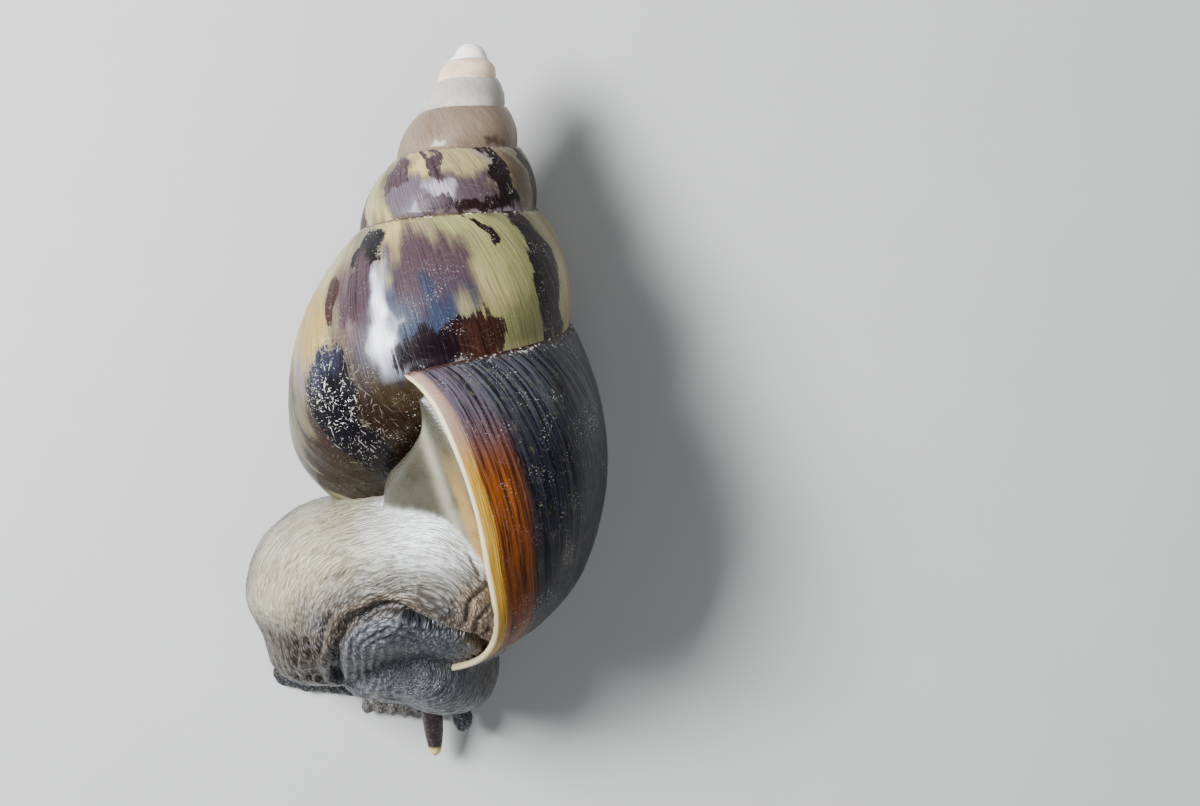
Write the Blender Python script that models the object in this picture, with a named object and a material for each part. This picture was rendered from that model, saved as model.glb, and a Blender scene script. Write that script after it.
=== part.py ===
"""Giant African land snail, a still life-size model lying on a floor, in metres with +Z up.

The spire points along +Y and leans a little towards +X, and the aperture faces -X. The soft body
leans out of the aperture, curls round on a flat sole and ends in the head at -Y. The origin lies
on the floor, in the middle of the small flat that the body whorl rests on. All dimensions below
are in millimetres and are scaled once, where a mesh is made.
"""

import math

import bmesh
import bpy
import numpy as np
from mathutils import Matrix, Vector

MM = 0.001
GAP = 0.3                 # clearance between neighbouring solids
FAR = 90.0                # how far cutters reach

# Shell: a right-handed spiral described by turns m, 0 at the lip's suture and negative to the apex.
WHORLS = 6.0              # turns from the nucleus to the lip
VERTEX = 5.5              # height of the cone's imagined point above the real, blunt apex
SUTURE_AT_LIP = 59.3      # distance of the lip's suture below the imagined point
GROWTH = 0.355            # growth of the suture's distance, per turn, as an exponent
LAST_DROP = 0.22          # extra descent of the suture over the last turn, as an exponent
DROP_TURNS = 0.5          # turns over which that descent fades out
CONE = 0.41               # suture radius over suture distance
LAST_PINCH = 0.085        # share by which the suture's radius shrinks at the lip
PINCH_TURNS = 0.25        # turns over which that fades out
SHOULDER_DROP = 47.0      # descent and slowing of the line where the last whorl leaves its band
SHOULDER_SLOWING = 17.0
SHOULDER_FLARE = 6.0      # how much wider than the suture that line grows
FLARE_TURNS = 0.6
BULGE = 0.115             # swelling of a whorl over its chord
BASE_AT_LIP = 114.66      # distance of the shell's base below the imagined point, at turn 0
BASE_GROWTH = 0.422       # its growth per turn, as an exponent
BASE_START = 0.40         # pull of the base's curve along the band it leaves, over its reach
BASE_END = 0.46           # pull towards the axis it meets, over its reach
BASE_DISH = 0.046         # how far the base hollows before the axis, over its reach
LIP_ANGLE = 101.0         # where the lip's suture lies round the axis, 90 being straight up
HOOK_SLANT = 11.0         # how far a growth line trails its suture in its first, curved part
HOOK_WIDTH = 0.07         # share of the whorl that this part takes
LIP_SLANT = 36.0          # how far the outer lip trails its suture, in degrees round the axis
BASE_SLANT = 24.0         # how much further the base of the lip trails
WALL = 1.2                # thickness of the lip
PAST_LIP = 0.02           # turns by which the cutter of the hollow runs past the lip
THIN_WALL = 0.25          # share of that thickness next to the suture
THIN_WIDTH = 0.12         # share of the whorl over which the wall thins
COLUMELLA = 2.0           # least radius of the pillar inside the aperture
RECESS_RINGS = np.linspace(-0.40, 0.0, 13)  # turns of the hollow's sections, 0 at the lip
RECESS_START = 0.04       # where the hollow's outer wall starts down the whorl
RECESS_END = 0.93         # where it ends, at the pillar
RECESS_CROWDING = 1.3     # how much closer its points stand at the start
INNER_SPAN = 0.47         # share of the turn before that the hollow's inner wall covers

# Stance of the shell over the floor.
REST_T = 66.0             # the axis passes over the origin this far from the apex
LEAN = 5.0                # turn of the spire towards +X, in degrees
DROOP = 4.0               # how much lower the spire hangs, in degrees
FLAT_DEPTH = 0.45         # depth of the flat that the body whorl rests on

NEAR_SWELL = 0.5 * GAP    # growth of the closed shell where the mantle is cut round the flesh
FAR_SWELL = 1.8 * GAP     # growth of the closed shell that is cut from the flesh
PILLAR_END = (90.0, 96.0, 99.5)  # distances below the apex of the room round the pillar's end
PILLAR_ROOM = (2.3, 4.2, 5.2)  # and its radii

# Facets.
COLUMNS = 40              # per turn of the shell
BAND_ROWS = 5             # from suture to suture
BASE_ROWS = 6             # from the last suture to the base
HOLLOW_ROWS = 11          # along each side of the hollow's section
TUCK_STEPS = (0.35, 0.7, 1.0)  # shares of a dome's height below its widest line

# Soft body. Plan places are (x, y), heights are above the floor.
TRUNK_TOP = (2.0, -17.0, 53.0)
MANTLE_REACH = 50.0       # how far the mantle's collar swells past the lip, in degrees
MANTLE_ROOM = 0.42        # space between the mantle and the hollow it fills
SPARE_AT_START = 0.1      # share of a whorl's outline that a millimetre of room takes at its start
SPARE_AT_END = 0.05       # and at its end
ARCH_LAG = 2.9            # how far down the lip the collar swells most
ARCH_FULLNESS = 1.1
COLLAR_STEPS = (0.25, 0.5, 0.75, 1.0)  # shares of the collar's reach at which its rings stand
COLLAR_RISE = 0.85        # how far the collar's outer side has sunk onto the inner one at its end
COLLAR_HASTE = 0.7        # how early it sinks
DEEP_ROOM = 0.025         # turns left free behind the mantle, deep in the hollow
HEAD_TOP = (-3.0, -33.0, 38.0)
SOLE_SPLIT = 5.0          # height of the cut between the sole and the body above it
BEND = (2.0, -29.0)       # the body curls round this upright axis
SECTORS = [               # directions from the bend, and the nodes above and below the sole's cut
    (-10.0, 180.0, "trunk", "foot_rear"), (180.0, 232.0, "neck", "foot_middle"),
    (232.0, 350.0, "head", "foot_front")]
LIMBS = [                 # name, path, radii
    ("tentacle_upper_right",
     [(-2.6, -43.0, 8.5), (-2.4, -46.5, 7.6), (-2.2, -50.0, 6.4), (-2.1, -52.0, 5.8)],
     (2.0, 1.8, 1.5, 1.15)),
    ("tentacle_upper_left", [(2.4, -43.0, 8.0), (2.6, -45.6, 7.4), (2.7, -47.0, 7.0)], (1.4, 1.7, 1.8)),
    ("tentacle_lower_right", [(-2.2, -43.5, 3.4), (-2.3, -48.2, 2.4)], (0.9, 0.8)),
    ("tentacle_lower_left", [(3.0, -43.0, 3.4), (3.2, -47.2, 2.4)], (0.9, 0.8))]
LAPPETS = [("lappet_right", (-7.0, -45.8)), ("lappet_left", (-12.3, -45.2))]
LAPPET_SIZE = (2.5, 2.4, 4.6)  # half length, half width and height
LAPPET_MIDDLE = 2.2       # height of a lappet's widest line, and how far its sole is set in
LAPPET_INSET = 0.5
EYE_RADIUS = 0.5
EYES = [("eye_right", (-2.05, -54.0, 5.4)), ("eye_left", (2.78, -49.65, 6.4))]

# Surfaces: the start of the nodes' names, colour and roughness.
SURFACES = [
    ("shell", (0.22, 0.13, 0.09), 0.32), ("mantle_collar", (0.62, 0.56, 0.46), 0.38),
    ("trunk", (0.42, 0.38, 0.31), 0.45), ("neck", (0.26, 0.23, 0.20), 0.45),
    ("head", (0.17, 0.16, 0.15), 0.42), ("foot_", (0.24, 0.22, 0.20), 0.48),
    ("tail", (0.24, 0.22, 0.20), 0.48), ("lappet_", (0.20, 0.18, 0.16), 0.48),
    ("tentacle_", (0.19, 0.18, 0.17), 0.42), ("eye_", (0.02, 0.02, 0.02), 0.15)]
CREASE_ANGLE = 35.0       # sharper edges than this stay sharp in shading, in degrees


def scale_of(m):
    """Distance of the suture below the cone's imagined point, m turns from the lip."""
    back = np.minimum(m, 0.0)
    ahead = np.maximum(m, 0.0)
    exponent = GROWTH * back + LAST_DROP * (np.exp(back / DROP_TURNS) - 1.0)
    return SUTURE_AT_LIP * np.exp(exponent) + SHOULDER_DROP * ahead - SHOULDER_SLOWING * ahead**2


def suture(m):
    """Radius and distance below the apex of the suture, m turns from the lip."""
    back = np.minimum(m, 0.0)
    ahead = np.maximum(m, 0.0)
    radius = CONE * scale_of(back) * (1.0 - LAST_PINCH * np.exp(back / PINCH_TURNS))
    return radius + SHOULDER_FLARE * (1.0 - np.exp(-ahead / FLARE_TURNS)), scale_of(m) - VERTEX


def base_of(m):
    """Distance below the apex at which the whorl closes on the axis."""
    return BASE_AT_LIP * np.exp(BASE_GROWTH * m) - VERTEX


def profile(m, u):
    """Outline of a whorl cut through the axis: u runs 0 to 0.5 between sutures, on to 1 at the base.

    The first half is a chord with a parabolic swelling, the second a Bezier curve that leaves it
    smoothly and arrives square to the axis.
    """
    m, u = np.broadcast_arrays(np.asarray(m, float), np.asarray(u, float))
    r0, t0 = suture(m)
    r1, t1 = suture(m + 1.0)
    chord_r, chord_t = r1 - r0, t1 - t0
    length = np.hypot(chord_r, chord_t)
    out_r, out_t = chord_t / length, -chord_r / length
    v = np.clip(u / 0.5, 0.0, 1.0)
    swell = BULGE * 4.0 * v * (1.0 - v) * length
    r_band, t_band = r0 + chord_r * v + out_r * swell, t0 + chord_t * v + out_t * swell

    end_r = chord_r - 4.0 * BULGE * length * out_r
    end_t = chord_t - 4.0 * BULGE * length * out_t
    end = np.hypot(end_r, end_t)
    base = base_of(m)
    reach = np.hypot(r1, base - t1)
    p1r, p1t = r1 + end_r / end * BASE_START * reach, t1 + end_t / end * BASE_START * reach
    p2r, p2t = BASE_END * reach, base - BASE_DISH * reach
    s = np.clip(u / 0.5 - 1.0, 0.0, 1.0)
    w0, w1, w2, w3 = (1 - s) ** 3, 3 * s * (1 - s) ** 2, 3 * s * s * (1 - s), s**3
    r_base = w0 * r1 + w1 * p1r + w2 * p2r
    t_base = w0 * t1 + w1 * p1t + w2 * p2t + w3 * base
    low = u > 0.5
    return np.where(low, r_base, r_band), np.where(low, t_base, t_band)


def slant(u):
    """Degrees by which a growth line trails its suture, at u down the whorl."""
    u = np.asarray(u, float)
    upper = HOOK_SLANT * (1.0 - np.exp(-u / HOOK_WIDTH)) + (LIP_SLANT - HOOK_SLANT) * u / 0.5
    lower = LIP_SLANT + BASE_SLANT * np.sin(np.clip(2.0 * u - 1.0, 0.0, 1.0) * math.pi / 2.0)
    return np.where(u < 0.5, upper, lower)


def stand(r, t, m):
    """Place axis coordinates in the model: spin to the whorl's angle, droop, lean, and lift."""
    angle = np.radians(LIP_ANGLE + 360.0 * m)
    x, y, z = r * np.cos(angle), REST_T - t, r * np.sin(angle)
    droop, lean = math.radians(DROOP), math.radians(LEAN)
    y, z = y * math.cos(droop) + z * math.sin(droop), z * math.cos(droop) - y * math.sin(droop)
    x, y = x * math.cos(lean) + y * math.sin(lean), y * math.cos(lean) - x * math.sin(lean)
    return np.stack([x, y, z + AXIS_HEIGHT], axis=-1)


def shell_point(g, u):
    """A point of the shell's outside: growth turn g (0 at the lip), u down the whorl."""
    m = g - slant(u) / 360.0
    r, t = profile(m, u)
    return stand(r, t, m)


def axis_height():
    """Height of the axis over the origin that sinks the body whorl's lowest line by the flat."""
    m, u = np.meshgrid(np.linspace(-1.0, -0.1, 90), np.linspace(0.0, 1.0, 60))
    r, t = profile(m, u)
    return -float(stand(r, t, m)[..., 2].min()) - FLAT_DEPTH


AXIS_HEIGHT = 0.0
AXIS_HEIGHT = axis_height()


def mesh_object(name, points, faces):
    """A new object from points in millimetres and faces, with its normals turned outwards."""
    mesh = bpy.data.meshes.new(name)
    mesh.from_pydata((np.asarray(points) * MM).tolist(), [], faces)
    bm = bmesh.new()
    bm.from_mesh(mesh)
    bmesh.ops.recalc_face_normals(bm, faces=bm.faces)
    bm.to_mesh(mesh)
    bm.free()
    obj = bpy.data.objects.new(name, mesh)
    bpy.context.collection.objects.link(obj)
    return obj


def combine(obj, other, operation, solver="EXACT"):
    """Apply a Boolean of obj with other, in place, and leave the other as it is."""
    modifier = obj.modifiers.new("combine", "BOOLEAN")
    modifier.operation = operation
    modifier.solver = solver
    modifier.object = other
    depsgraph = bpy.context.evaluated_depsgraph_get()
    mesh = bpy.data.meshes.new_from_object(obj.evaluated_get(depsgraph))
    obj.modifiers.clear()
    old = obj.data
    obj.data = mesh
    bpy.data.meshes.remove(old)


def discard(*objects):
    """Remove helper objects and their meshes."""
    for obj in objects:
        mesh = obj.data
        bpy.data.objects.remove(obj)
        bpy.data.meshes.remove(mesh)


def keep_largest(obj):
    """Delete every loose body of an object but the one with most points."""
    bm = bmesh.new()
    bm.from_mesh(obj.data)
    left, bodies = set(bm.verts), []
    while left:
        body, front = set(), [next(iter(left))]
        while front:
            vertex = front.pop()
            if vertex not in body:
                body.add(vertex)
                front += [edge.other_vert(vertex) for edge in vertex.link_edges]
        left -= body
        bodies.append(body)
    bodies.sort(key=len)
    for body in bodies[:-1]:
        bmesh.ops.delete(bm, geom=list(body), context="VERTS")
    bm.to_mesh(obj.data)
    bm.free()


def swollen(obj, distance):
    """A copy whose points are moved out along their normals by a distance in millimetres."""
    copy = copy_of(obj, "swollen")
    bm = bmesh.new()
    bm.from_mesh(copy.data)
    bm.normal_update()
    for vertex in bm.verts:
        vertex.co += vertex.normal * distance * MM
    bm.to_mesh(copy.data)
    bm.free()
    return copy


def zipped(left, right, points):
    """Triangles between two chains of points that part at one point and end side by side."""
    faces, i, j = [], 0, 0
    while i < len(left) - 1 or j < len(right) - 1:
        step_left = j == len(right) - 1
        if not step_left and i < len(left) - 1:
            ahead_left = np.linalg.norm(points[left[i + 1]] - points[right[j]])
            ahead_right = np.linalg.norm(points[left[i]] - points[right[j + 1]])
            step_left = ahead_left < ahead_right
        if step_left:
            faces.append([left[i], left[i + 1], right[j]])
            i += 1
        else:
            faces.append([left[i], right[j + 1], right[j]])
            j += 1
    return [face for face in faces if len(set(face)) == 3]


def closed_shell():
    """The shell as a closed solid with its aperture filled by a fan.

    A grid of growth lines is sewn so that each whorl's lower edge is the next whorl's suture.
    The last turn carries on round the base to the axis.
    """
    shift = round(COLUMNS * (1.0 - LIP_SLANT / 360.0))
    last = round(COLUMNS * WHORLS)
    first_open = last - shift
    u_band = np.linspace(0.0, 0.5, BAND_ROWS + 1)
    u_base = np.linspace(0.5, 1.0, BASE_ROWS + 1)[1:]
    points, index = [], {}
    for column in range(last + 1):
        rows = list(u_band[:-1])
        if column >= first_open:
            rows += [0.5, *u_base]
        g = np.full(len(rows), column / COLUMNS - WHORLS)
        for row, point in enumerate(shell_point(g, np.array(rows))):
            index[column, row] = len(points)
            points.append(point)

    def vertex(column, row):
        if row == BAND_ROWS and column < first_open:
            return index[column + shift, 0]
        return index[column, row]

    index[first_open, BAND_ROWS] = index[last, 0]
    faces = []
    for column in range(last):
        rows = BAND_ROWS + (BASE_ROWS if column >= first_open else 0)
        for row in range(rows):
            faces.append([vertex(column, row), vertex(column + 1, row),
                          vertex(column + 1, row + 1), vertex(column, row + 1)])

    rim = [vertex(column, 0) for column in range(shift + 1)]
    rim += [vertex(0, row) for row in range(BAND_ROWS - 1, 0, -1)]
    points.append(stand(0.0, 0.0, 0.0))
    faces += [[a, b, len(points) - 1] for a, b in zip(rim, rim[1:] + rim[:1])]

    bottom = BAND_ROWS + BASE_ROWS
    lip = [vertex(last, row) for row in range(bottom + 1)]
    inner = [vertex(first_open, row) for row in range(BAND_ROWS, bottom + 1)]
    pillar = [vertex(column, bottom) for column in range(first_open, last + 1)]
    half = len(pillar) // 2
    faces += zipped(lip[:-1], inner[:-1], points)
    faces += [[inner[-2], a, b] for a, b in zip(pillar[:half], pillar[1:])]
    faces += [[lip[-2], a, b] for a, b in zip(pillar[half:], pillar[half + 1:])]
    faces.append([lip[-2], inner[-2], pillar[half]])
    used = sorted({i for face in faces for i in face})
    place = {old: new for new, old in enumerate(used)}
    return mesh_object("shell", [points[i] for i in used], [[place[i] for i in f] for f in faces])


def inset(r, t, distance):
    """Move an open outline sideways, to the left of its direction, by a distance."""
    dr, dt = np.gradient(r), np.gradient(t)
    length = np.hypot(dr, dt)
    return r - dt / length * distance, t + dr / length * distance


def recess_ring(g, spare, rise=0.0, reach=0.0):
    """Section of the last whorl's hollow at growth turn g, as an outer and an inner row of points.

    The outer row runs inside the whorl's wall and the inner row over the turn before, both thinner
    towards the suture and spare further in. Like a growth line, the section trails its suture.
    With rise the outer row catches up with the inner one and sinks onto it, and reach carries
    the section that many degrees past the lip.
    """
    first = RECESS_START + SPARE_AT_START * spare
    last = RECESS_END - SPARE_AT_END * spare
    u = first + (last - first) * np.linspace(0.0, 1.0, HOLLOW_ROWS) ** RECESS_CROWDING
    arch = np.sin(math.pi * u**ARCH_LAG) ** ARCH_FULLNESS
    wall = WALL * np.clip(u / THIN_WIDTH, THIN_WALL, 1.0) + spare
    v = 0.5 + INNER_SPAN * u
    lag_in = slant(v) - LIP_SLANT
    m = g + (reach * arch - slant(u) + (slant(u) - lag_in) * rise) / 360.0
    r_out, t_out = inset(*profile(m, u), wall)
    r_near, t_near = inset(*profile(m - 1.0, v), -wall)
    r_out, t_out = r_out + (r_near - r_out) * rise, t_out + (t_near - t_out) * rise
    m_in = g + (reach * arch - lag_in) / 360.0
    r_in, t_in = inset(*profile(m_in - 1.0, v), -wall)
    r, t = np.concatenate([r_out, r_in[::-1]]), np.concatenate([t_out, t_in[::-1]])
    return stand(np.maximum(r, COLUMELLA + spare), t, np.concatenate([m, m_in[::-1]]))


def hollow():
    """The last whorl's hollow as a closed tube that starts deep inside and ends past the lip."""
    return ring_loft("hollow", [recess_ring(g, 0.0) for g in [*RECESS_RINGS, PAST_LIP]], True)


def mantle_collar():
    """The mantle's collar: it fills the hollow and swells out past the lip onto the whorl behind.

    Inside the shell its rings stand at the hollow's own turns, so the facets of the two are parallel.
    """
    loops = [recess_ring(g, MANTLE_ROOM) for g in [RECESS_RINGS[0] + DEEP_ROOM, *RECESS_RINGS[1:]]]
    for f in COLLAR_STEPS:
        loops.append(recess_ring(0.0, MANTLE_ROOM, COLLAR_RISE * f**COLLAR_HASTE, MANTLE_REACH * f))
    return ring_loft("mantle_collar", loops, True)


def ring_loft(name, loops, ladder=False):
    """A closed solid from equal closed loops of points.

    Its ends are flat, or with ladder are bridged from the first half of the loop to the second.
    """
    count = len(loops[0])
    faces = []
    for ring in range(len(loops) - 1):
        a, b = ring * count, (ring + 1) * count
        for k, after in zip(range(count), [*range(1, count), 0]):
            faces += [[a + k, a + after, b + after], [a + k, b + after, b + k]]
    for first in (0, (len(loops) - 1) * count):
        if ladder:
            faces += [[first + k, first + k + 1, first + count - 2 - k, first + count - 1 - k]
                      for k in range(count // 2 - 1)]
        else:
            faces.append([first + k for k in range(count)])
    return mesh_object(name, np.concatenate(loops), faces)


def closed_curve(knots, count):
    """Evenly stepped points on a closed Catmull-Rom curve through the knots."""
    knots = np.asarray(knots, float)
    step = np.arange(count) * len(knots) / count
    k, f = step.astype(int), (step % 1.0)[:, None]
    p0, p1, p2, p3 = (knots[(k + shift) % len(knots)] for shift in (-1, 0, 1, 2))
    return 0.5 * (2 * p1 + (p2 - p0) * f + (2 * p0 - 5 * p1 + 4 * p2 - p3) * f**2
                  + (3 * p1 - p0 - 3 * p2 + p3) * f**3)


def dome(name, knots, top, fullness, count=40, rings=9):
    """A rounded body on a flat sole.

    Each knot is (x, y, height of the widest line, inset of the sole). From the widest line the
    side rises on a superellipse to the top point, and below it tucks in on a quarter ellipse.
    """
    rim = closed_curve(knots, count)
    top = np.asarray(top, float)
    loops = []
    for s in np.linspace(0.5 / rings, 1.0, rings):
        rho = math.sin(s * math.pi / 2.0)
        rise = (1.0 - rho**fullness) ** (1.0 / fullness)
        xy = top[:2] + (rim[:, :2] - top[:2]) * rho
        z = rim[:, 2] + (top[2] - rim[:, 2]) * rise
        loops.append(np.column_stack([xy, z]))
    outward = rim[:, :2] - top[:2]
    outward /= np.linalg.norm(outward, axis=1)[:, None]
    for s in TUCK_STEPS:
        tuck = 1.0 - math.sqrt(1.0 - s * s) if s < 1.0 else 1.0
        xy = rim[:, :2] - outward * (rim[:, 3] * tuck)[:, None]
        loops.append(np.column_stack([xy, rim[:, 2] * (1.0 - s)]))
    return ring_loft(name, loops)


def tapered(name, path, radii, sides=10, tip_rings=3):
    """A round limb along a path of points, with a domed tip at its far end."""
    path, radii = [Vector(p) for p in path], list(radii)
    forward = (path[-1] - path[-2]).normalized()
    end, end_radius = path[-1], radii[-1]
    for k in range(1, tip_rings + 1):
        swing = k / (tip_rings + 0.5) * math.pi / 2.0
        path.append(end + forward * end_radius * math.sin(swing))
        radii.append(end_radius * math.cos(swing))
    loops = []
    for k, (centre, radius) in enumerate(zip(path, radii)):
        along = (path[min(k + 1, len(path) - 1)] - path[max(k - 1, 0)]).normalized()
        side = along.cross(Vector((0.0, 0.0, 1.0))).normalized()
        lift = side.cross(along)
        turn = [2.0 * math.pi * i / sides for i in range(sides)]
        loops.append([tuple(centre + (side * math.cos(a) + lift * math.sin(a)) * radius) for a in turn])
    return ring_loft(name, np.array(loops))


def ball(name, centre, radius):
    """A small sphere."""
    bm = bmesh.new()
    place = Matrix.Translation(Vector(centre) * MM)
    bmesh.ops.create_icosphere(bm, subdivisions=2, radius=radius * MM, matrix=place)
    mesh = bpy.data.meshes.new(name)
    bm.to_mesh(mesh)
    bm.free()
    obj = bpy.data.objects.new(name, mesh)
    bpy.context.collection.objects.link(obj)
    return obj


def sector(name, start, end, low, high):
    """An upright wedge round the bend's axis, between two directions in degrees and two heights.

    Both its upright faces are moved in by half a gap, so neighbouring wedges leave one gap.
    """
    half = math.radians(end - start) / 2.0
    middle = math.radians(start) + half
    corner = GAP / 2.0 / math.sin(half)
    tip = (BEND[0] + corner * math.cos(middle), BEND[1] + corner * math.sin(middle))
    turns = np.radians(np.linspace(start, end, 7))
    outline = [tip] + [(tip[0] + FAR * math.cos(a), tip[1] + FAR * math.sin(a)) for a in turns]
    return ring_loft(name, [[(x, y, z) for x, y in outline] for z in (low, high)])


# Outlines of the domes: places with the height of the widest line and the inset of the sole.
TRUNK_KNOTS = [
    (9.0, -14.0, 45.0, 3.5), (3.0, -7.6, 42.0, 4.0), (-2.0, -6.2, 36.0, 4.5), (-9.0, -6.6, 28.0, 5.0),
    (-17.0, -8.0, 20.0, 5.0), (-24.5, -10.4, 15.0, 5.0), (-30.5, -16.0, 12.0, 4.5),
    (-33.0, -24.5, 10.0, 4.0), (-30.8, -31.5, 6.0, 1.5), (-28.4, -38.7, 3.0, 0.5),
    (-20.0, -40.8, 3.5, 0.5), (-12.0, -38.5, 5.0, 1.0), (-3.0, -36.5, 8.0, 2.0),
    (6.0, -35.5, 14.0, 3.0), (11.5, -31.0, 28.0, 4.0), (12.5, -23.0, 42.0, 4.0)]
HEAD_KNOTS = [
    (-17.0, -33.5, 10.0, 3.0), (-12.0, -28.5, 14.0, 5.0), (-4.0, -27.0, 16.0, 5.0),
    (5.0, -31.0, 14.0, 4.0), (9.0, -36.0, 9.0, 3.0), (7.5, -43.3, 5.0, 1.5), (1.0, -45.2, 5.0, 1.0),
    (-6.0, -43.2, 5.0, 0.8), (-13.0, -42.2, 4.5, 0.8), (-17.0, -40.0, 5.0, 1.0)]
SOLE_KNOTS = [
    (-14.0, -10.0), (-22.0, -12.0), (-28.0, -20.0), (-30.3, -28.0), (-30.3, -36.5), (-30.0, -42.4),
    (-25.0, -44.0), (-14.5, -45.0), (-4.0, -45.2), (4.0, -44.3), (6.5, -37.0), (0.0, -28.0)]
SOLE_EDGE = (1.3, 0.4)    # height of the foot's margin at its widest line, and its inset below
SOLE_TOP = (-14.0, -28.0, 4.5)
TAIL_SPINE = [            # place, half width, height
    (-15.0, -14.0, 6.0, 9.0), (-13.6, -5.0, 4.6, 7.5), (-13.2, 3.0, 4.2, 5.6),
    (-12.2, 11.0, 3.2, 3.8), (-9.8, 19.0, 1.4, 1.6)]
TRUNK_FULLNESS = 2.0
HEAD_FULLNESS = 2.2


def lappet(name, place):
    """A small rounded lobe beside the mouth, standing on the floor."""
    long, wide, high = LAPPET_SIZE
    turns = np.arange(8) * math.pi / 4.0
    knots = [(place[0] + long * math.cos(a), place[1] + wide * math.sin(a), LAPPET_MIDDLE,
              LAPPET_INSET) for a in turns]
    return dome(name, knots, (*place, high), TRUNK_FULLNESS, 16, 4)


def tail():
    """The hind part of the foot: rounded sections on a flat sole that taper along a bent spine."""
    spine = np.asarray(TAIL_SPINE)
    along = np.gradient(spine[:, :2], axis=0)
    across = np.column_stack([-along[:, 1], along[:, 0]]) / np.linalg.norm(along, axis=1)[:, None]
    angle = np.linspace(0.0, math.pi, 9)
    loops = []
    for (x, y, half_width, height), (ax, ay) in zip(spine, across):
        side = half_width * np.cos(angle)
        loops.append(np.column_stack([x + ax * side, y + ay * side, height * np.sin(angle)]))
    return ring_loft("tail", loops)


def finish_surface(obj):
    """Give a node its own material and shade its round faces smooth."""
    colour, roughness = next((c, r) for start, c, r in SURFACES if obj.name.startswith(start))
    material = bpy.data.materials.new(obj.name)
    material.use_nodes = True
    surface = material.node_tree.nodes["Principled BSDF"]
    surface.inputs["Base Color"].default_value = (*colour, 1.0)
    surface.inputs["Roughness"].default_value = roughness
    surface.inputs["Metallic"].default_value = 0.0
    obj.data.materials.clear()
    obj.data.materials.append(material)
    obj.data.shade_smooth()
    obj.data.set_sharp_from_angle(angle=math.radians(CREASE_ANGLE))


def block(name, low, high):
    """A wide flat block between two heights."""
    corners = [(-FAR, -FAR), (FAR, -FAR), (FAR, FAR), (-FAR, FAR)]
    return ring_loft(name, [[(x, y, z) for x, y in corners] for z in (low, high)])


def copy_of(obj, name):
    """A copy of an object with its own mesh."""
    copy = obj.copy()
    copy.data = obj.data.copy()
    copy.name = name
    bpy.context.collection.objects.link(copy)
    return copy


def main():
    for obj in list(bpy.data.objects):
        bpy.data.objects.remove(obj)
    shell = closed_shell()
    near_shell = swollen(shell, NEAR_SWELL)
    fat_shell = swollen(shell, FAR_SWELL)
    cutter = hollow()
    floor = block("floor", -FAR, 0.0)
    combine(shell, cutter, "DIFFERENCE")
    combine(shell, floor, "DIFFERENCE")

    flesh = dome("flesh", TRUNK_KNOTS, TRUNK_TOP, TRUNK_FULLNESS)
    head = dome("head_lobe", HEAD_KNOTS, HEAD_TOP, HEAD_FULLNESS)
    margin = dome("margin", [(*knot, *SOLE_EDGE) for knot in SOLE_KNOTS], SOLE_TOP, HEAD_FULLNESS)
    fat_flesh = [swollen(obj, GAP) for obj in (flesh, head, margin)]
    pillar_end = [tuple(stand(0.0, t, 0.0)) for t in PILLAR_END]
    pillar_room = tapered("pillar_room", pillar_end, PILLAR_ROOM)
    combine(flesh, head, "UNION")
    combine(flesh, margin, "UNION")
    combine(flesh, fat_shell, "DIFFERENCE")
    combine(flesh, pillar_room, "DIFFERENCE")

    mantle = mantle_collar()
    for fat in fat_flesh:
        outside = copy_of(fat, "outside")
        combine(outside, near_shell, "DIFFERENCE")
        combine(mantle, outside, "DIFFERENCE")
        discard(outside)
    keep_largest(mantle)

    for start, end, upper, lower in SECTORS:
        above = (upper, SOLE_SPLIT + GAP / 2.0, FAR)
        below = (lower, -GAP, SOLE_SPLIT - GAP / 2.0)
        for name, low, high in (above, below):
            piece = copy_of(flesh, name)
            cell = sector("cell", start, end, low, high)
            combine(piece, cell, "INTERSECT", "MANIFOLD")
            keep_largest(piece)
            discard(cell)

    hind = tail()
    combine(hind, fat_shell, "DIFFERENCE")
    limbs = [tapered(*limb) for limb in LIMBS]
    lappets = [lappet(name, place) for name, place in LAPPETS]
    for obj in [hind, *limbs, *lappets]:
        for other in fat_flesh:
            combine(obj, other, "DIFFERENCE")
    for name, centre in EYES:
        ball(name, centre, EYE_RADIUS)
    discard(pillar_room, cutter, floor, near_shell, fat_shell, flesh, head, margin, *fat_flesh)
    for obj in bpy.data.objects:
        finish_surface(obj)


main()
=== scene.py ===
"""Giant African land snail: the finished look of the model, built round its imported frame.

Shapes are worked out in millimetres and scaled once, where a mesh is made. The shell and the soft
body repeat the outlines that the CAD solids follow, at a finer pitch.
"""
import math

import bmesh
import bpy
import numpy as np
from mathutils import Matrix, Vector
from mathutils.kdtree import KDTree


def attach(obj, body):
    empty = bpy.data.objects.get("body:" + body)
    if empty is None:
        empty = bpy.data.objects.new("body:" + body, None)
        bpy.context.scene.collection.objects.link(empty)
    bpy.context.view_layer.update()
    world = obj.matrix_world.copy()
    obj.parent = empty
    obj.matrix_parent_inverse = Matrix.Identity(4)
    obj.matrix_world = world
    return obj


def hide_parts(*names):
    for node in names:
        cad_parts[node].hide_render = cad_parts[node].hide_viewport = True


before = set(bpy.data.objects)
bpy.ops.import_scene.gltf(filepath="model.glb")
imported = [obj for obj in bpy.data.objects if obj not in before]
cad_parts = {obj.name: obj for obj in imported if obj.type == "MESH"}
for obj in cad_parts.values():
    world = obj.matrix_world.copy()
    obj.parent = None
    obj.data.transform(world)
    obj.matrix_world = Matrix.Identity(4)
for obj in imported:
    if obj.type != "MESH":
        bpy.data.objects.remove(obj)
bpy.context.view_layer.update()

MM = 0.001


# ---------------------------------------------------------------- shell outline

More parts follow.
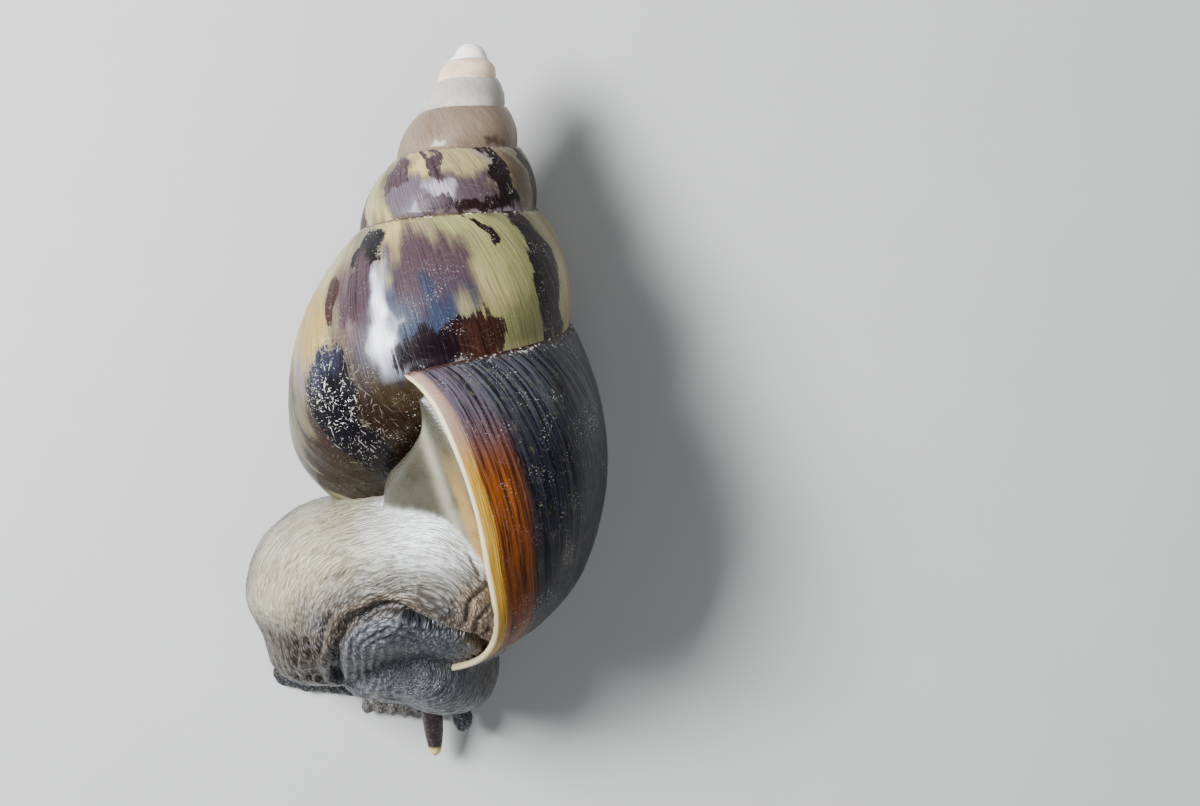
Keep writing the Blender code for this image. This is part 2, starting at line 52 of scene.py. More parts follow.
WHORLS = 6.0
VERTEX = 5.5
SUTURE_AT_LIP = 59.3
GROWTH = 0.355
LAST_DROP = 0.22
DROP_TURNS = 0.5
CONE = 0.41
LAST_PINCH = 0.085
PINCH_TURNS = 0.25
SHOULDER_DROP = 47.0
SHOULDER_SLOWING = 17.0
SHOULDER_FLARE = 6.0
FLARE_TURNS = 0.6
BULGE = 0.115
BASE_AT_LIP = 114.66
BASE_GROWTH = 0.422
BASE_START = 0.40
BASE_END = 0.46
BASE_DISH = 0.046
LIP_ANGLE = 101.0
HOOK_SLANT = 11.0
HOOK_WIDTH = 0.07
LIP_SLANT = 36.0
BASE_SLANT = 24.0
WALL = 1.2
REST_T = 66.0
LEAN = 5.0
DROOP = 4.0
FLAT_DEPTH = 0.45
RECESS_TURNS = 0.40
# Radius at the middle of the last whorl, and the length of its last growth line.
MIDDLE_RADIUS = 27.0
LINE_LENGTH = 96.0
# Middle below the tip and radius of the ball that rounds the apex.
APEX_DOME = (2.45, 2.75)
# Columns per turn, rows between the sutures, rows on the base, crowding towards the suture.
COARSE_GRID = (80, 8, 12)
FINE_GRID = (400, 20, 26, 1.35)
# The cap's middle and crown, as distances down the axis.
CAP_DEPTHS = (0.5, -1.3)
# Shares of the whorl where its inside starts and ends, and where the wall it grew on ends.
INNER_EDGES = (0.035, 0.93)
PARIETAL_END = 0.965
LIP_ROUNDING = 0.75
# Growth that the rounded lip stands for, and the growth and share that hidden faces take.
BEAD_TURNS = 0.03
HIDDEN_UV = (0.2, 0.5)


def scale_of(m):
    """Distance of the suture below the cone's imagined point: exponential, steeper in the last turn."""
    back, ahead = np.minimum(m, 0.0), np.maximum(m, 0.0)
    exponent = GROWTH * back + LAST_DROP * (np.exp(back / DROP_TURNS) - 1.0)
    return SUTURE_AT_LIP * np.exp(exponent) + SHOULDER_DROP * ahead - SHOULDER_SLOWING * ahead**2


def suture(m):
    """Radius and distance below the apex of the suture, m turns from the lip."""
    back, ahead = np.minimum(m, 0.0), np.maximum(m, 0.0)
    radius = CONE * scale_of(back) * (1.0 - LAST_PINCH * np.exp(back / PINCH_TURNS))
    return radius + SHOULDER_FLARE * (1.0 - np.exp(-ahead / FLARE_TURNS)), scale_of(m) - VERTEX


def profile(m, u):
    """Outline of a whorl: a chord with a parabolic swelling, then a Bezier curve to the axis."""
    m, u = np.broadcast_arrays(np.asarray(m, float), np.asarray(u, float))
    r0, t0 = suture(m)
    r1, t1 = suture(m + 1.0)
    chord_r, chord_t = r1 - r0, t1 - t0
    length = np.hypot(chord_r, chord_t)
    out_r, out_t = chord_t / length, -chord_r / length
    v = np.clip(u / 0.5, 0.0, 1.0)
    swell = BULGE * 4.0 * v * (1.0 - v) * length
    r_band, t_band = r0 + chord_r * v + out_r * swell, t0 + chord_t * v + out_t * swell
    end_r = chord_r - 4.0 * BULGE * length * out_r
    end_t = chord_t - 4.0 * BULGE * length * out_t
    end = np.hypot(end_r, end_t)
    base = BASE_AT_LIP * np.exp(BASE_GROWTH * m) - VERTEX
    reach = np.hypot(r1, base - t1)
    p1r, p1t = r1 + end_r / end * BASE_START * reach, t1 + end_t / end * BASE_START * reach
    p2r, p2t = BASE_END * reach, base - BASE_DISH * reach
    s = np.clip(u / 0.5 - 1.0, 0.0, 1.0)
    w0, w1, w2, w3 = (1 - s) ** 3, 3 * s * (1 - s) ** 2, 3 * s * s * (1 - s), s**3
    r_base = w0 * r1 + w1 * p1r + w2 * p2r
    t_base = w0 * t1 + w1 * p1t + w2 * p2t + w3 * base
    return np.where(u > 0.5, r_base, r_band), np.where(u > 0.5, t_base, t_band)


def slant(u):
    """Degrees by which a growth line trails its suture: a short hook, a straight run, a sine."""
    u = np.asarray(u, float)
    upper = HOOK_SLANT * (1.0 - np.exp(-u / HOOK_WIDTH)) + (LIP_SLANT - HOOK_SLANT) * u / 0.5
    lower = LIP_SLANT + BASE_SLANT * np.sin(np.clip(2.0 * u - 1.0, 0.0, 1.0) * math.pi / 2.0)
    return np.where(u < 0.5, upper, lower)


def stand(r, t, m, height):
    """Turn axis coordinates to the whorl's angle, then droop, lean and lift them."""
    angle = np.radians(LIP_ANGLE + 360.0 * m)
    x, y, z = r * np.cos(angle), REST_T - t, r * np.sin(angle)
    droop, lean = math.radians(DROOP), math.radians(LEAN)
    y, z = y * math.cos(droop) + z * math.sin(droop), z * math.cos(droop) - y * math.sin(droop)
    x, y = x * math.cos(lean) + y * math.sin(lean), y * math.cos(lean) - x * math.sin(lean)
    return np.stack([x, y, z + height], axis=-1)


def axis_height():
    """Height of the shell's axis that sinks its lowest line into the floor by the flat's depth."""
    m, u = np.meshgrid(np.linspace(-1.0, -0.1, 90), np.linspace(0.0, 1.0, 60))
    return -float(stand(*profile(m, u), m, 0.0)[..., 2].min()) - FLAT_DEPTH


AXIS_HEIGHT = axis_height()


def shell_point(g, u):
    """A point of the shell's outside at growth turn g and share u down the whorl."""
    m = g - slant(u) / 360.0
    return stand(*profile(m, u), m, AXIS_HEIGHT)


def unit(v):
    """Vectors scaled to length one."""
    return v / np.maximum(np.linalg.norm(v, axis=-1, keepdims=True), 1e-9)


def shell_normal(g, u):
    """Outward direction of the shell's outside, from the cross product of its two slopes."""
    step = 1e-3
    low, high = np.clip(u - step, 0.0, 1.0), np.clip(u + step, 0.0, 1.0)
    along = shell_point(g + step, u) - shell_point(g - step, u)
    down = shell_point(g, high) - shell_point(g, low)
    return unit(np.cross(along, down))


# ---------------------------------------------------------------- noise and meshes

def lattice_noise(points, seed):
    """Smooth noise between -1 and 1: random values on a whole-number lattice, blended cubically."""
    table = np.random.default_rng(seed).uniform(-1.0, 1.0, 4096)
    base = np.floor(points).astype(np.int64)
    f = points - base
    f = f * f * (3.0 - 2.0 * f)
    total = np.zeros(len(points))
    dims = points.shape[1]
    primes = np.array([73856093, 19349663, 83492791])[:dims]
    for corner in range(2**dims):
        offset = np.array([(corner >> d) & 1 for d in range(dims)])
        key = ((base + offset) * primes).sum(axis=1)
        key = (key ^ (key >> 13)) * 40503 % 4096
        weight = np.prod(np.where(offset, f, 1.0 - f), axis=1)
        total += table[key] * weight
    return total


def rough_noise(points, seed, octaves=3):
    """Several lattice noises, each twice as fine and half as strong as the one before."""
    total, strength = np.zeros(len(points)), 1.0
    for k in range(octaves):
        total += strength * lattice_noise(points * 2.0**k, seed + k)
        strength *= 0.5
    return total


def grown(seed, *columns):
    """Smooth noise over separate columns of numbers."""
    return lattice_noise(np.column_stack(columns), seed)


def smoothstep(low, high, x):
    """0 below low, 1 above high and a cubic ease between them."""
    f = np.clip((x - low) / (high - low), 0.0, 1.0)
    return f * f * (3.0 - 2.0 * f)


def linked(name, data):
    """A new object in the scene."""
    obj = bpy.data.objects.new(name, data)
    bpy.context.scene.collection.objects.link(obj)
    return obj


def bare_object(name, points=(), faces=()):
    """A mesh object, in the same units as its points."""
    mesh = bpy.data.meshes.new(name)
    mesh.from_pydata(points, [], faces)
    mesh.update()
    return linked(name, mesh)


def only_used(name, points, faces):
    """A mesh object of faces, without the points that no face uses."""
    used = np.unique(np.concatenate([np.array(face) for face in faces]))
    place = np.full(len(points), -1)
    place[used] = np.arange(len(used))
    return bare_object(name, points[used].tolist(), [place[face].tolist() for face in faces])


def reworked(obj, change):
    """Let a function change an object's faces."""
    bm = bmesh.new()
    bm.from_mesh(obj.data)
    change(bm)
    bm.to_mesh(obj.data)
    bm.free()
    return obj


def turned_out(obj):
    """Recalculate an object's faces so that all point outwards."""
    return reworked(obj, lambda bm: bmesh.ops.recalc_face_normals(bm, faces=bm.faces))


def pulled(items, key, width, kind=float):
    """One field of many mesh items, a row of numbers for each."""
    data = np.empty(len(items) * width, kind)
    items.foreach_get(key, data)
    return data.reshape(-1, width)


def coordinates(mesh):
    """The points of a mesh as an array."""
    return pulled(mesh.vertices, "co", 3)


def painted(mesh, name, kind, domain, key, values):
    """Store rows of numbers on a mesh under a name."""
    layer = mesh.attributes.new(name, kind, domain)
    layer.data.foreach_set(key, values.astype(np.float32).ravel())


def placed(mesh, points):
    """Move a mesh's points."""
    mesh.vertices.foreach_set("co", points.ravel())
    mesh.update()


def discard(*objects):
    """Remove helper objects with their meshes."""
    for obj in objects:
        mesh = obj.data
        bpy.data.objects.remove(obj)
        bpy.data.meshes.remove(mesh)


def baked(obj):
    """Replace an object's mesh by the result of its modifiers."""
    depsgraph = bpy.context.evaluated_depsgraph_get()
    mesh = bpy.data.meshes.new_from_object(obj.evaluated_get(depsgraph))
    old = obj.data
    obj.modifiers.clear()
    obj.data = mesh
    bpy.data.meshes.remove(old)
    return obj


def cut_away(obj, other):
    """Cut one closed object out of another."""
    modifier = obj.modifiers.new("cut", "BOOLEAN")
    modifier.operation = "DIFFERENCE"
    modifier.solver = "MANIFOLD"
    modifier.object = other
    return baked(obj)


def wrapped(index):
    """A grid of point numbers with its first column repeated at the end."""
    return np.concatenate([index, index[:, :1]], axis=1)


def around(count):
    """Even angles round a full turn."""
    return np.linspace(0.0, 2.0 * math.pi, count, endpoint=False)


def grid_faces(grid):
    """The four corners of every cell of a grid, of point numbers or of values."""
    return np.stack([grid[:-1, :-1], grid[1:, :-1], grid[1:, 1:], grid[:-1, 1:]], axis=-1).reshape(-1, 4)


def spread(values, edges, degree, rounds, share=0.5):
    """Move each point's values towards the mean of its neighbours, several times over."""
    for _ in range(rounds):
        total = np.zeros_like(values)
        np.add.at(total, edges[:, 0], values[edges[:, 1]])
        np.add.at(total, edges[:, 1], values[edges[:, 0]])
        mean = total / (degree[:, None] if values.ndim > 1 else degree)
        values = values + share * (mean - values)
    return values


# ---------------------------------------------------------------- shell mesh

class ShellGrid:
    """The closed spiral: numbered points, and the faces between them.

    Each column is a growth line. A whorl's lower edge is the suture of the whorl after it, shift
    columns on, and the last turn carries on from there round the base to the axis.
    """

    def __init__(self, per_turn, band_rows, base_rows, crowding=1.0):
        self.per_turn, self.band = per_turn, band_rows
        self.last = round(per_turn * WHORLS)
        self.shift = round(per_turn * (1.0 - LIP_SLANT / 360.0))
        self.first_open = self.last - self.shift
        self.deep = round(per_turn * RECESS_TURNS)
        self.bottom = band_rows + base_rows
        upper = 0.5 * (np.arange(band_rows) / band_rows) ** crowding
        self.u = np.concatenate([upper, np.linspace(0.5, 1.0, base_rows + 1)])
        self.g = np.arange(self.last + 1) / per_turn - WHORLS
        first_base = self.first_open - self.deep
        index = np.full((self.last + 1, self.bottom + 1), -1)
        index[:, :band_rows] = np.arange((self.last + 1) * band_rows).reshape(-1, band_rows)
        count = (self.last + 1) * band_rows
        lower = np.arange(self.last + 1 - first_base)[:, None] * (base_rows + 1)
        index[first_base:, band_rows:] = count + lower + np.arange(base_rows + 1)
        index[:self.first_open + 1, band_rows] = index[self.shift:, 0]
        self.index, self.first_base = index, first_base
        g_upper = np.repeat(self.g, band_rows)
        u_upper = np.tile(self.u[:band_rows], self.last + 1)
        g_lower = np.repeat(self.g[first_base:], base_rows + 1)
        u_lower = np.tile(self.u[band_rows:], self.last + 1 - first_base)
        self.growth = np.concatenate([g_upper, g_lower])
        self.across = np.concatenate([u_upper, u_lower])
        self.points = shell_point(self.growth, self.across)

    def outside(self):
        """Quads of the whole outside, with growth and share for each corner."""
        parts = []
        for first, columns, rows in ((0, self.last, (0, self.band)),
                                     (self.first_open, self.last, (self.band, self.bottom))):
            block = self.index[first:columns + 1, rows[0]:rows[1] + 1]
            g = np.broadcast_to(self.g[first:columns + 1, None], block.shape)
            u = np.broadcast_to(self.u[None, rows[0]:rows[1] + 1], block.shape)
            parts.append((block, g, u))
        return parts

    def top_rim(self):
        """The loop of points that bounds the spiral at its start."""
        return np.concatenate([self.index[:self.shift + 1, 0], self.index[0, self.band - 1:0:-1]])


def zipped(left, right, points):
    """Triangles between two chains of points that part at one point and end side by side."""
    faces, i, j = [], 0, 0
    while i < len(left) - 1 or j < len(right) - 1:
        step_left = j == len(right) - 1
        if not step_left and i < len(left) - 1:
            ahead_left = np.linalg.norm(points[left[i + 1]] - points[right[j]])
            ahead_right = np.linalg.norm(points[left[i]] - points[right[j + 1]])
            step_left = ahead_left < ahead_right
        if step_left:
            faces.append([left[i], left[i + 1], right[j]])
            i += 1
        else:
            faces.append([left[i], right[j + 1], right[j]])
            j += 1
    return [face for face in faces if len(set(face)) == 3]


def filled_shell(distance):
    """The shell as one closed solid with its mouth filled, grown or shrunk by a distance."""
    grid = ShellGrid(*COARSE_GRID)
    points = list(grid.points)
    faces = []
    for block, _, _ in grid.outside():
        faces += grid_faces(block).tolist()
    points.append(stand(0.0, 0.0, 0.0, AXIS_HEIGHT))
    rim = grid.top_rim().tolist()
    faces += [[a, b, len(points) - 1] for a, b in zip(rim, rim[1:] + rim[:1])]
    lip = grid.index[grid.last].tolist()
    inner = grid.index[grid.first_open, grid.band:].tolist()
    pillar = grid.index[grid.first_open:, grid.bottom].tolist()
    half = len(pillar) // 2
    faces += zipped(lip[:-1], inner[:-1], points)
    faces += [[inner[-2], a, b] for a, b in zip(pillar[:half], pillar[1:])]
    faces += [[lip[-2], a, b] for a, b in zip(pillar[half:], pillar[half + 1:])]
    faces.append([lip[-2], inner[-2], pillar[half]])
    obj = turned_out(only_used("filled_shell", np.array(points), faces))
    mesh = obj.data
    placed(mesh, coordinates(mesh) + pulled(mesh.vertex_normals, "vector", 3) * distance)
    return obj


def arc_length(g):
    """Distance in millimetres grown along the middle of a whorl, counted from far up the spire."""
    return 2.0 * math.pi * MIDDLE_RADIUS / GROWTH * np.exp(GROWTH * g)


def whorl_length(g):
    """Length in millimetres of a whole growth line."""
    return LINE_LENGTH * np.exp(GROWTH * g)


def relief(g, u):
    """Height of the shell's relief in millimetres.

    Each whorl's top edge stands proud of the whorl before, fine growth lines run from suture to
    suture, and broad slow waves and a few stronger rest marks cross them.
    """
    size = np.exp(GROWTH * g)
    s, v = arc_length(g), u * whorl_length(g)
    ledge = 0.34 * (1.0 - np.exp(-u / 0.007)) * np.exp(-u / 0.16)
    lines = grown(3, s / 0.95, v / 30.0)
    lines += 0.6 * grown(4, s / 2.3, v / 22.0)
    waves = grown(5, s / 11.0, v / 18.0)
    rests = np.maximum(0.0, grown(6, s / 4.2, v / 60.0) - 0.55)
    coarse = 0.35 + 0.65 * smoothstep(-0.75, -0.1, g)
    fade = smoothstep(0.0, 0.02, u) * smoothstep(-5.2, -3.6, g)
    fine = (0.055 * lines * coarse + 0.16 * rests) * fade
    return ledge * np.minimum(1.0, size * 2.2) + fine + 0.12 * waves * fade * np.minimum(1.0, size * 1.5)


CREAM = (0.27, 0.225, 0.105)
OLIVE = (0.08, 0.066, 0.034)
GREENISH = (0.235, 0.225, 0.09)
YELLOW = (0.42, 0.32, 0.12)
LILAC = (0.21, 0.175, 0.225)
# Painted highlight: a pale bluish-white stripe on the body whorl that stands in for its gloss.
GLOSS_STRIPE_WHITE = (0.72, 0.72, 0.79)
# Painted reflection: the blue of the sky on the dark shell, put into its colour.
SKY_SHEEN_BLUE = (0.02, 0.027, 0.052)
PLUM = (0.05, 0.03, 0.036)
UMBER = (0.014, 0.006, 0.007)
RUSSET = (0.03, 0.01, 0.006)
BLACK = (0.004, 0.003, 0.005)
NACRE = (0.60, 0.62, 0.66)
# The worn ground of the early whorls: turns, and the colour at each.
WORN_TURNS = (-5.75, -5.35, -4.75, -4.45, -3.75, -3.45, -2.9)
WORN_COLOURS = [(0.95, 0.90, 0.80), (0.76, 0.58, 0.40), (0.70, 0.52, 0.36), (0.40, 0.35, 0.29),
                (0.37, 0.35, 0.33), (0.165, 0.118, 0.080), (0.165, 0.118, 0.080)]

# Patches of the shell's ground: middle and half width in turns, middle and half height down the
# whorl, lean, softness, colour. Later ones lie over earlier ones. Most are the shell's own colours;
# the white ones are a painted highlight and the violet ones a painted sky reflection.
GROUND_AND_SHEEN = [
    (-1.2, 0.05, 0.25, 0.3, 0.0, 0.5, CREAM), (-1.055, 0.06, 0.15, 0.2, 0.0, 0.5, GREENISH),
    (-1.04, 0.05, 0.42, 0.1, 0.0, 0.5, (0.15, 0.145, 0.06)),
    (-0.965, 0.035, 0.17, 0.13, 0.0, 0.5, PLUM), (-0.935, 0.035, 0.3, 0.12, 0.0, 0.6, SKY_SHEEN_BLUE),
    (-0.915, 0.015, 0.09, 0.08, 0.0, 0.4, YELLOW), (-0.885, 0.035, 0.34, 0.15, 0.0, 0.5, LILAC),
    (-0.902, 0.01, 0.34, 0.12, 0.0, 0.6, GLOSS_STRIPE_WHITE),
    (-0.79, 0.05, 0.25, 0.12, 0.0, 0.4, (0.27, 0.18, 0.05)), (-0.79, 0.03, 0.1, 0.1, 0.0, 0.4, CREAM),
    (-0.845, 0.05, 0.5, 0.12, 0.0, 0.5, OLIVE), (-0.8, 0.1, 0.78, 0.2, 0.0, 0.4, OLIVE),
    (-0.88, 0.035, 0.6, 0.14, 0.0, 0.4, (0.02, 0.012, 0.004)),
    (-0.865, 0.04, 0.28, 0.15, 0.03, 0.6, PLUM), (-0.905, 0.012, 0.36, 0.1, 0.02, 0.5, GLOSS_STRIPE_WHITE),
    (-0.928, 0.05, 0.32, 0.17, 0.05, 0.35, SKY_SHEEN_BLUE), (-0.889, 0.009, 0.31, 0.11, 0.03, 0.7, GLOSS_STRIPE_WHITE),
    (-0.955, 0.045, 0.17, 0.1, 0.08, 0.6, PLUM), (-1.99, 0.1, 0.37, 0.12, 0.05, 0.5, PLUM),
    (-1.93, 0.02, 0.33, 0.08, 0.05, 0.6, LILAC),
    (-2.12, 0.03, 0.25, 0.3, 0.0, 0.5, (0.1, 0.062, 0.034)), (-2.0, 0.04, 0.13, 0.14, 0.0, 0.5, CREAM),
    (-1.9, 0.022, 0.15, 0.11, 0.0, 0.5, YELLOW),
    (-1.97, 0.085, 0.36, 0.15, 0.03, 0.4, (0.06, 0.042, 0.048)),
    (-1.86, 0.035, 0.37, 0.14, 0.0, 0.5, (0.085, 0.066, 0.082)),
    (-3.04, 0.03, 0.43, 0.05, 0.05, 0.6, (0.05, 0.032, 0.018)),
    (-1.775, 0.035, 0.25, 0.3, 0.0, 0.5, CREAM),
    (-0.76, 0.15, 0.88, 0.33, 0.02, 0.2, (0.016, 0.009, 0.005)),
    (-1.93, 0.018, 0.33, 0.06, 0.05, 0.6, (0.3, 0.27, 0.31))]
# Flames: middle and half width in turns, middle and half height down the whorl, lean, colour.
FLAMES = [
    (-1.115, 0.024, 0.25, 0.3, 0.085, UMBER), (-1.049, 0.0075, 0.085, 0.045, 0.12, UMBER),
    (-0.95, 0.052, 0.435, 0.08, 0.1, (0.006, 0.002, 0.004)), (-0.992, 0.022, 0.425, 0.06, 0.1, RUSSET),
    (-0.878, 0.022, 0.105, 0.05, 0.1, BLACK), (-0.826, 0.011, 0.27, 0.07, 0.06, RUSSET),
    (-0.862, 0.01, 0.25, 0.12, 0.06, PLUM), (-0.8, 0.03, 0.62, 0.24, 0.03, BLACK),
    # The navy flame at turn -0.8, 0.4 down the whorl, is black tinted blue as a painted sky reflection.
    (-0.8, 0.02, 0.4, 0.045, 0.03, (0.016, 0.017, 0.032)), (-1.9, 0.03, 0.43, 0.06, 0.05, PLUM),
    (-1.99, 0.045, 0.445, 0.05, 0.06, UMBER), (-0.86, 0.03, 0.7, 0.13, 0.0, (0.016, 0.008, 0.004)),
    (-2.17, 0.022, 0.25, 0.3, 0.08, UMBER), (-2.065, 0.024, 0.25, 0.3, 0.085, UMBER),
    (-1.935, 0.015, 0.14, 0.12, 0.08, PLUM), (-1.85, 0.022, 0.16, 0.14, 0.06, PLUM)]
# Stretches of growth that the lists above describe; the rest is filled with a chance pattern.
WINDOWS = [(-0.94, 0.33), (-1.985, 0.245), (-2.95, 0.35)]
# Middle and half width, in turns and then down the whorl, of the patch with scratches.
SCRATCHED = (-0.803, 0.03, 0.53, 0.16)


def blend(colour, other, share):
    """Colours moved towards another by a share between 0 and 1 for each point."""
    return colour + (np.array(other) - colour) * np.clip(share, 0.0, 1.0)[:, None]


def patch_distance(g, u, middle, half, across, height, lean, waver):
    """Distance from a slanting, rounded patch's middle, 1 on its edge."""
    along = np.abs(g - middle - lean * (u - across)) / half
    return (along**4 + (np.abs(u - across) / height) ** 4) ** 0.25 + waver


def paint_shell(mesh):
    """Store the shell's ground colour with the flames' strength, and the flames' colour; both carry
    some painted highlight and painted sky reflection besides the shell's own colours.
    """
    g, u = pulled(mesh.uv_layers["growth"].data, "uv", 2, np.float32).astype(float).T
    old = smoothstep(-2.4, -2.9, g)
    inside = g > 0.012
    waver = 0.55 * rough_noise(np.column_stack([g * 75.0, u * 9.0]), 21, 4)
    g = g + 0.012 * rough_noise(np.column_stack([g * 24.0, u * 10.0]), 26)
    u = u + 0.036 * rough_noise(np.column_stack([g * 34.0, u * 9.0]), 27)
    blotch = grown(22, g * 7.0, u * 4.0)
    tint = grown(23, g * 16.0, u * 3.0)
    ground = blend(np.array(CREAM), OLIVE, smoothstep(-0.4, 0.7, blotch))
    ground = blend(ground, LILAC, 0.7 * smoothstep(0.1, 0.7, tint))
    young = smoothstep(-0.7, -0.35, g)
    ground = blend(ground, np.array(OLIVE) * 0.8, 0.6 * young)
    worn = np.column_stack([np.interp(g, WORN_TURNS, column) for column in zip(*WORN_COLOURS)])
    ground = blend(ground, worn * (1.0 + 0.25 * blotch)[:, None], old)
    sway = 0.06 * grown(24, g * 4.0, u * 6.0)
    chance = 0.5 + 0.55 * rough_noise(np.column_stack([(g + 0.085 * u + sway) * 8.5, u * 2.2]), 25, 2)
    chance = chance - 0.12 + 0.30 * young * smoothstep(0.02, -0.06, g) - 0.7 * smoothstep(-2.7, -3.3, g)
    ink = blend(np.array(UMBER), PLUM, smoothstep(-0.3, 0.5, tint))
    ink = blend(ink, RUSSET, 0.8 * smoothstep(0.15, 0.6, blotch))
    window = np.zeros(len(g))
    for middle, half in WINDOWS:
        window = np.maximum(window, 1.0 - smoothstep(0.85, 1.1, np.abs(g - middle) / half))
    flame = chance * (1.0 - window)
    for middle, half, across, height, lean, softness, colour in GROUND_AND_SHEEN:
        d = patch_distance(g, u, middle, half, across, height, lean, waver * 0.6)
        ground = blend(ground, colour, 1.0 - smoothstep(1.0 - softness, 1.0 + softness, d))
    for middle, half, across, height, lean, colour in FLAMES:
        d = patch_distance(g, u, middle, half, across, height, lean, waver * 0.5)
        strength = np.clip(1.0 - 0.5 * d, 0.0, 1.0)
        ink = blend(ink, colour, smoothstep(0.3, 0.5, strength))
        flame = np.maximum(flame, strength)
    turn, width, across, height = SCRATCHED
    scratched = np.exp(-((g - turn) / width) ** 2 - ((u - across) / height) ** 2)
    ground = np.where(inside[:, None], NACRE, ground)
    flame = np.where(inside, 0.0, flame)
    for name, colour, extra in (("ground", ground, flame), ("ink", ink, scratched)):
        painted(mesh, name, "FLOAT_COLOR", "CORNER", "color", np.column_stack([colour, extra]))


def build_shell():
    """The finished shell as one closed mesh.

    Outside: the spiral with its relief, closed by a domed cap. The last whorl's wall turns over a
    rounded lip and runs back inside at the wall's thickness, where strips join it to the surface of
    the turn before, and a ladder of faces closes it deep inside.
    """
    grid = ShellGrid(*FINE_GRID)
    normal = shell_normal(grid.growth, np.clip(grid.across, 0.002, 0.995))
    height = relief(grid.growth, grid.across) * (1.0 - smoothstep(0.93, 1.0, grid.across))
    height = height * (1.0 - 0.7 * smoothstep(-0.004, 0.0, grid.growth))
    points = [grid.points + normal * height[:, None]]
    corners, uvs = [], []

    def add_grid(block, g, u, flip=False):
        quads, uv = grid_faces(block), np.stack([grid_faces(g), grid_faces(u)], axis=-1)
        if flip:
            quads, uv = quads[:, ::-1], uv[:, ::-1]
        corners.append(quads)
        uvs.append(uv)

    for block, g, u in grid.outside():
        add_grid(block, g, u)
    count = len(grid.points)

    rim = grid.top_rim()
    centre, crown = (stand(0.0, depth, 0.0, AXIS_HEIGHT) for depth in CAP_DEPTHS)
    turns = np.linspace(0.0, math.pi / 2.0, 9)[1:-1]
    base = points[0][rim]
    rings = [centre + (base - centre) * math.cos(a) + (crown - centre) * math.sin(a) for a in turns]
    points.append(np.concatenate(rings + [crown[None]]))
    loops = np.concatenate([rim[None], count + np.arange(len(turns) * len(rim)).reshape(-1, len(rim)),
                            np.full((1, len(rim)), count + len(turns) * len(rim))])
    loops = wrapped(loops)
    add_grid(loops, np.full(loops.shape, -WHORLS), np.full(loops.shape, 0.05))
    count += len(turns) * len(rim) + 1

    u_in = INNER_EDGES[0] + (INNER_EDGES[1] - INNER_EDGES[0]) * grid.u
    g_in = np.linspace(-RECESS_TURNS, 0.0, grid.deep + 1)
    gg, uu = np.meshgrid(g_in, u_in, indexing="ij")
    wall = WALL * np.clip(uu / 0.12, 0.25, 1.0)
    inner = shell_point(gg, uu) - shell_normal(gg, uu) * wall[..., None]
    points.append(inner.reshape(-1, 3))
    inner_index = count + np.arange(inner.shape[0] * inner.shape[1]).reshape(inner.shape[:2])
    count += inner_index.size
    add_grid(inner_index, BEAD_TURNS - gg, uu, True)

    lip = grid.index[grid.last]
    outer_edge, inner_edge = points[0][lip], inner[-1]
    step = 1e-3
    forward = unit(shell_point(0.0, grid.u) - shell_point(-step, grid.u))
    middle, half = (outer_edge + inner_edge) / 2.0, (outer_edge - inner_edge) / 2.0
    bead = np.minimum(np.linalg.norm(half, axis=1), LIP_ROUNDING)[:, None]
    arcs = np.linspace(0.0, math.pi, 8)[1:-1]
    rows = [middle + half * math.cos(a) + forward * bead * math.sin(a) for a in arcs]
    points.append(np.concatenate(rows))
    width = len(lip)
    rows_index = count + np.arange(len(arcs) * width).reshape(-1, width)
    count += rows_index.size
    bead_index = np.concatenate([lip[None], rows_index, inner_index[-1:]])
    bead_g = np.broadcast_to(np.linspace(0.0, BEAD_TURNS, len(bead_index))[:, None], bead_index.shape)
    add_grid(bead_index, bead_g, np.broadcast_to(grid.u, bead_index.shape))

    parietal_rows = int(np.searchsorted(grid.u, PARIETAL_END))
    parietal = grid.index[grid.first_base:grid.first_open + 1, grid.band + 1:parietal_rows + 1]
    pg = np.broadcast_to(grid.g[grid.first_base:grid.first_open + 1, None], parietal.shape)
    pu = np.broadcast_to(grid.u[None, grid.band + 1:parietal_rows + 1], parietal.shape)
    add_grid(parietal, pg, pu)
    for near, far in ((inner_index[:, 0], parietal[:, 0]), (parietal[:, -1], inner_index[:, -1])):
        strip = np.stack([near, far], axis=1)
        add_grid(strip, *(np.full(strip.shape, value) for value in HIDDEN_UV))

    loose = []
    a, b = inner_index[0], parietal[0]
    step_b = np.round(np.linspace(0, len(b) - 1, len(a))).astype(int)
    for k in range(len(a) - 1):
        face = [a[k], a[k + 1], b[step_b[k + 1]], b[step_b[k]]]
        loose.append(list(dict.fromkeys(face)))
    loose += [[parietal[-1, 0], a, b] for a, b in zip(bead_index[:, 0], bead_index[1:, 0])]
    chain = np.concatenate([grid.index[grid.first_open, parietal_rows:grid.bottom + 1],
                            grid.index[grid.first_open + 1:, grid.bottom], bead_index[1:-1, -1]])
    loose += [[inner_index[-1, -1], p, q] for p, q in zip(chain, chain[1:])]

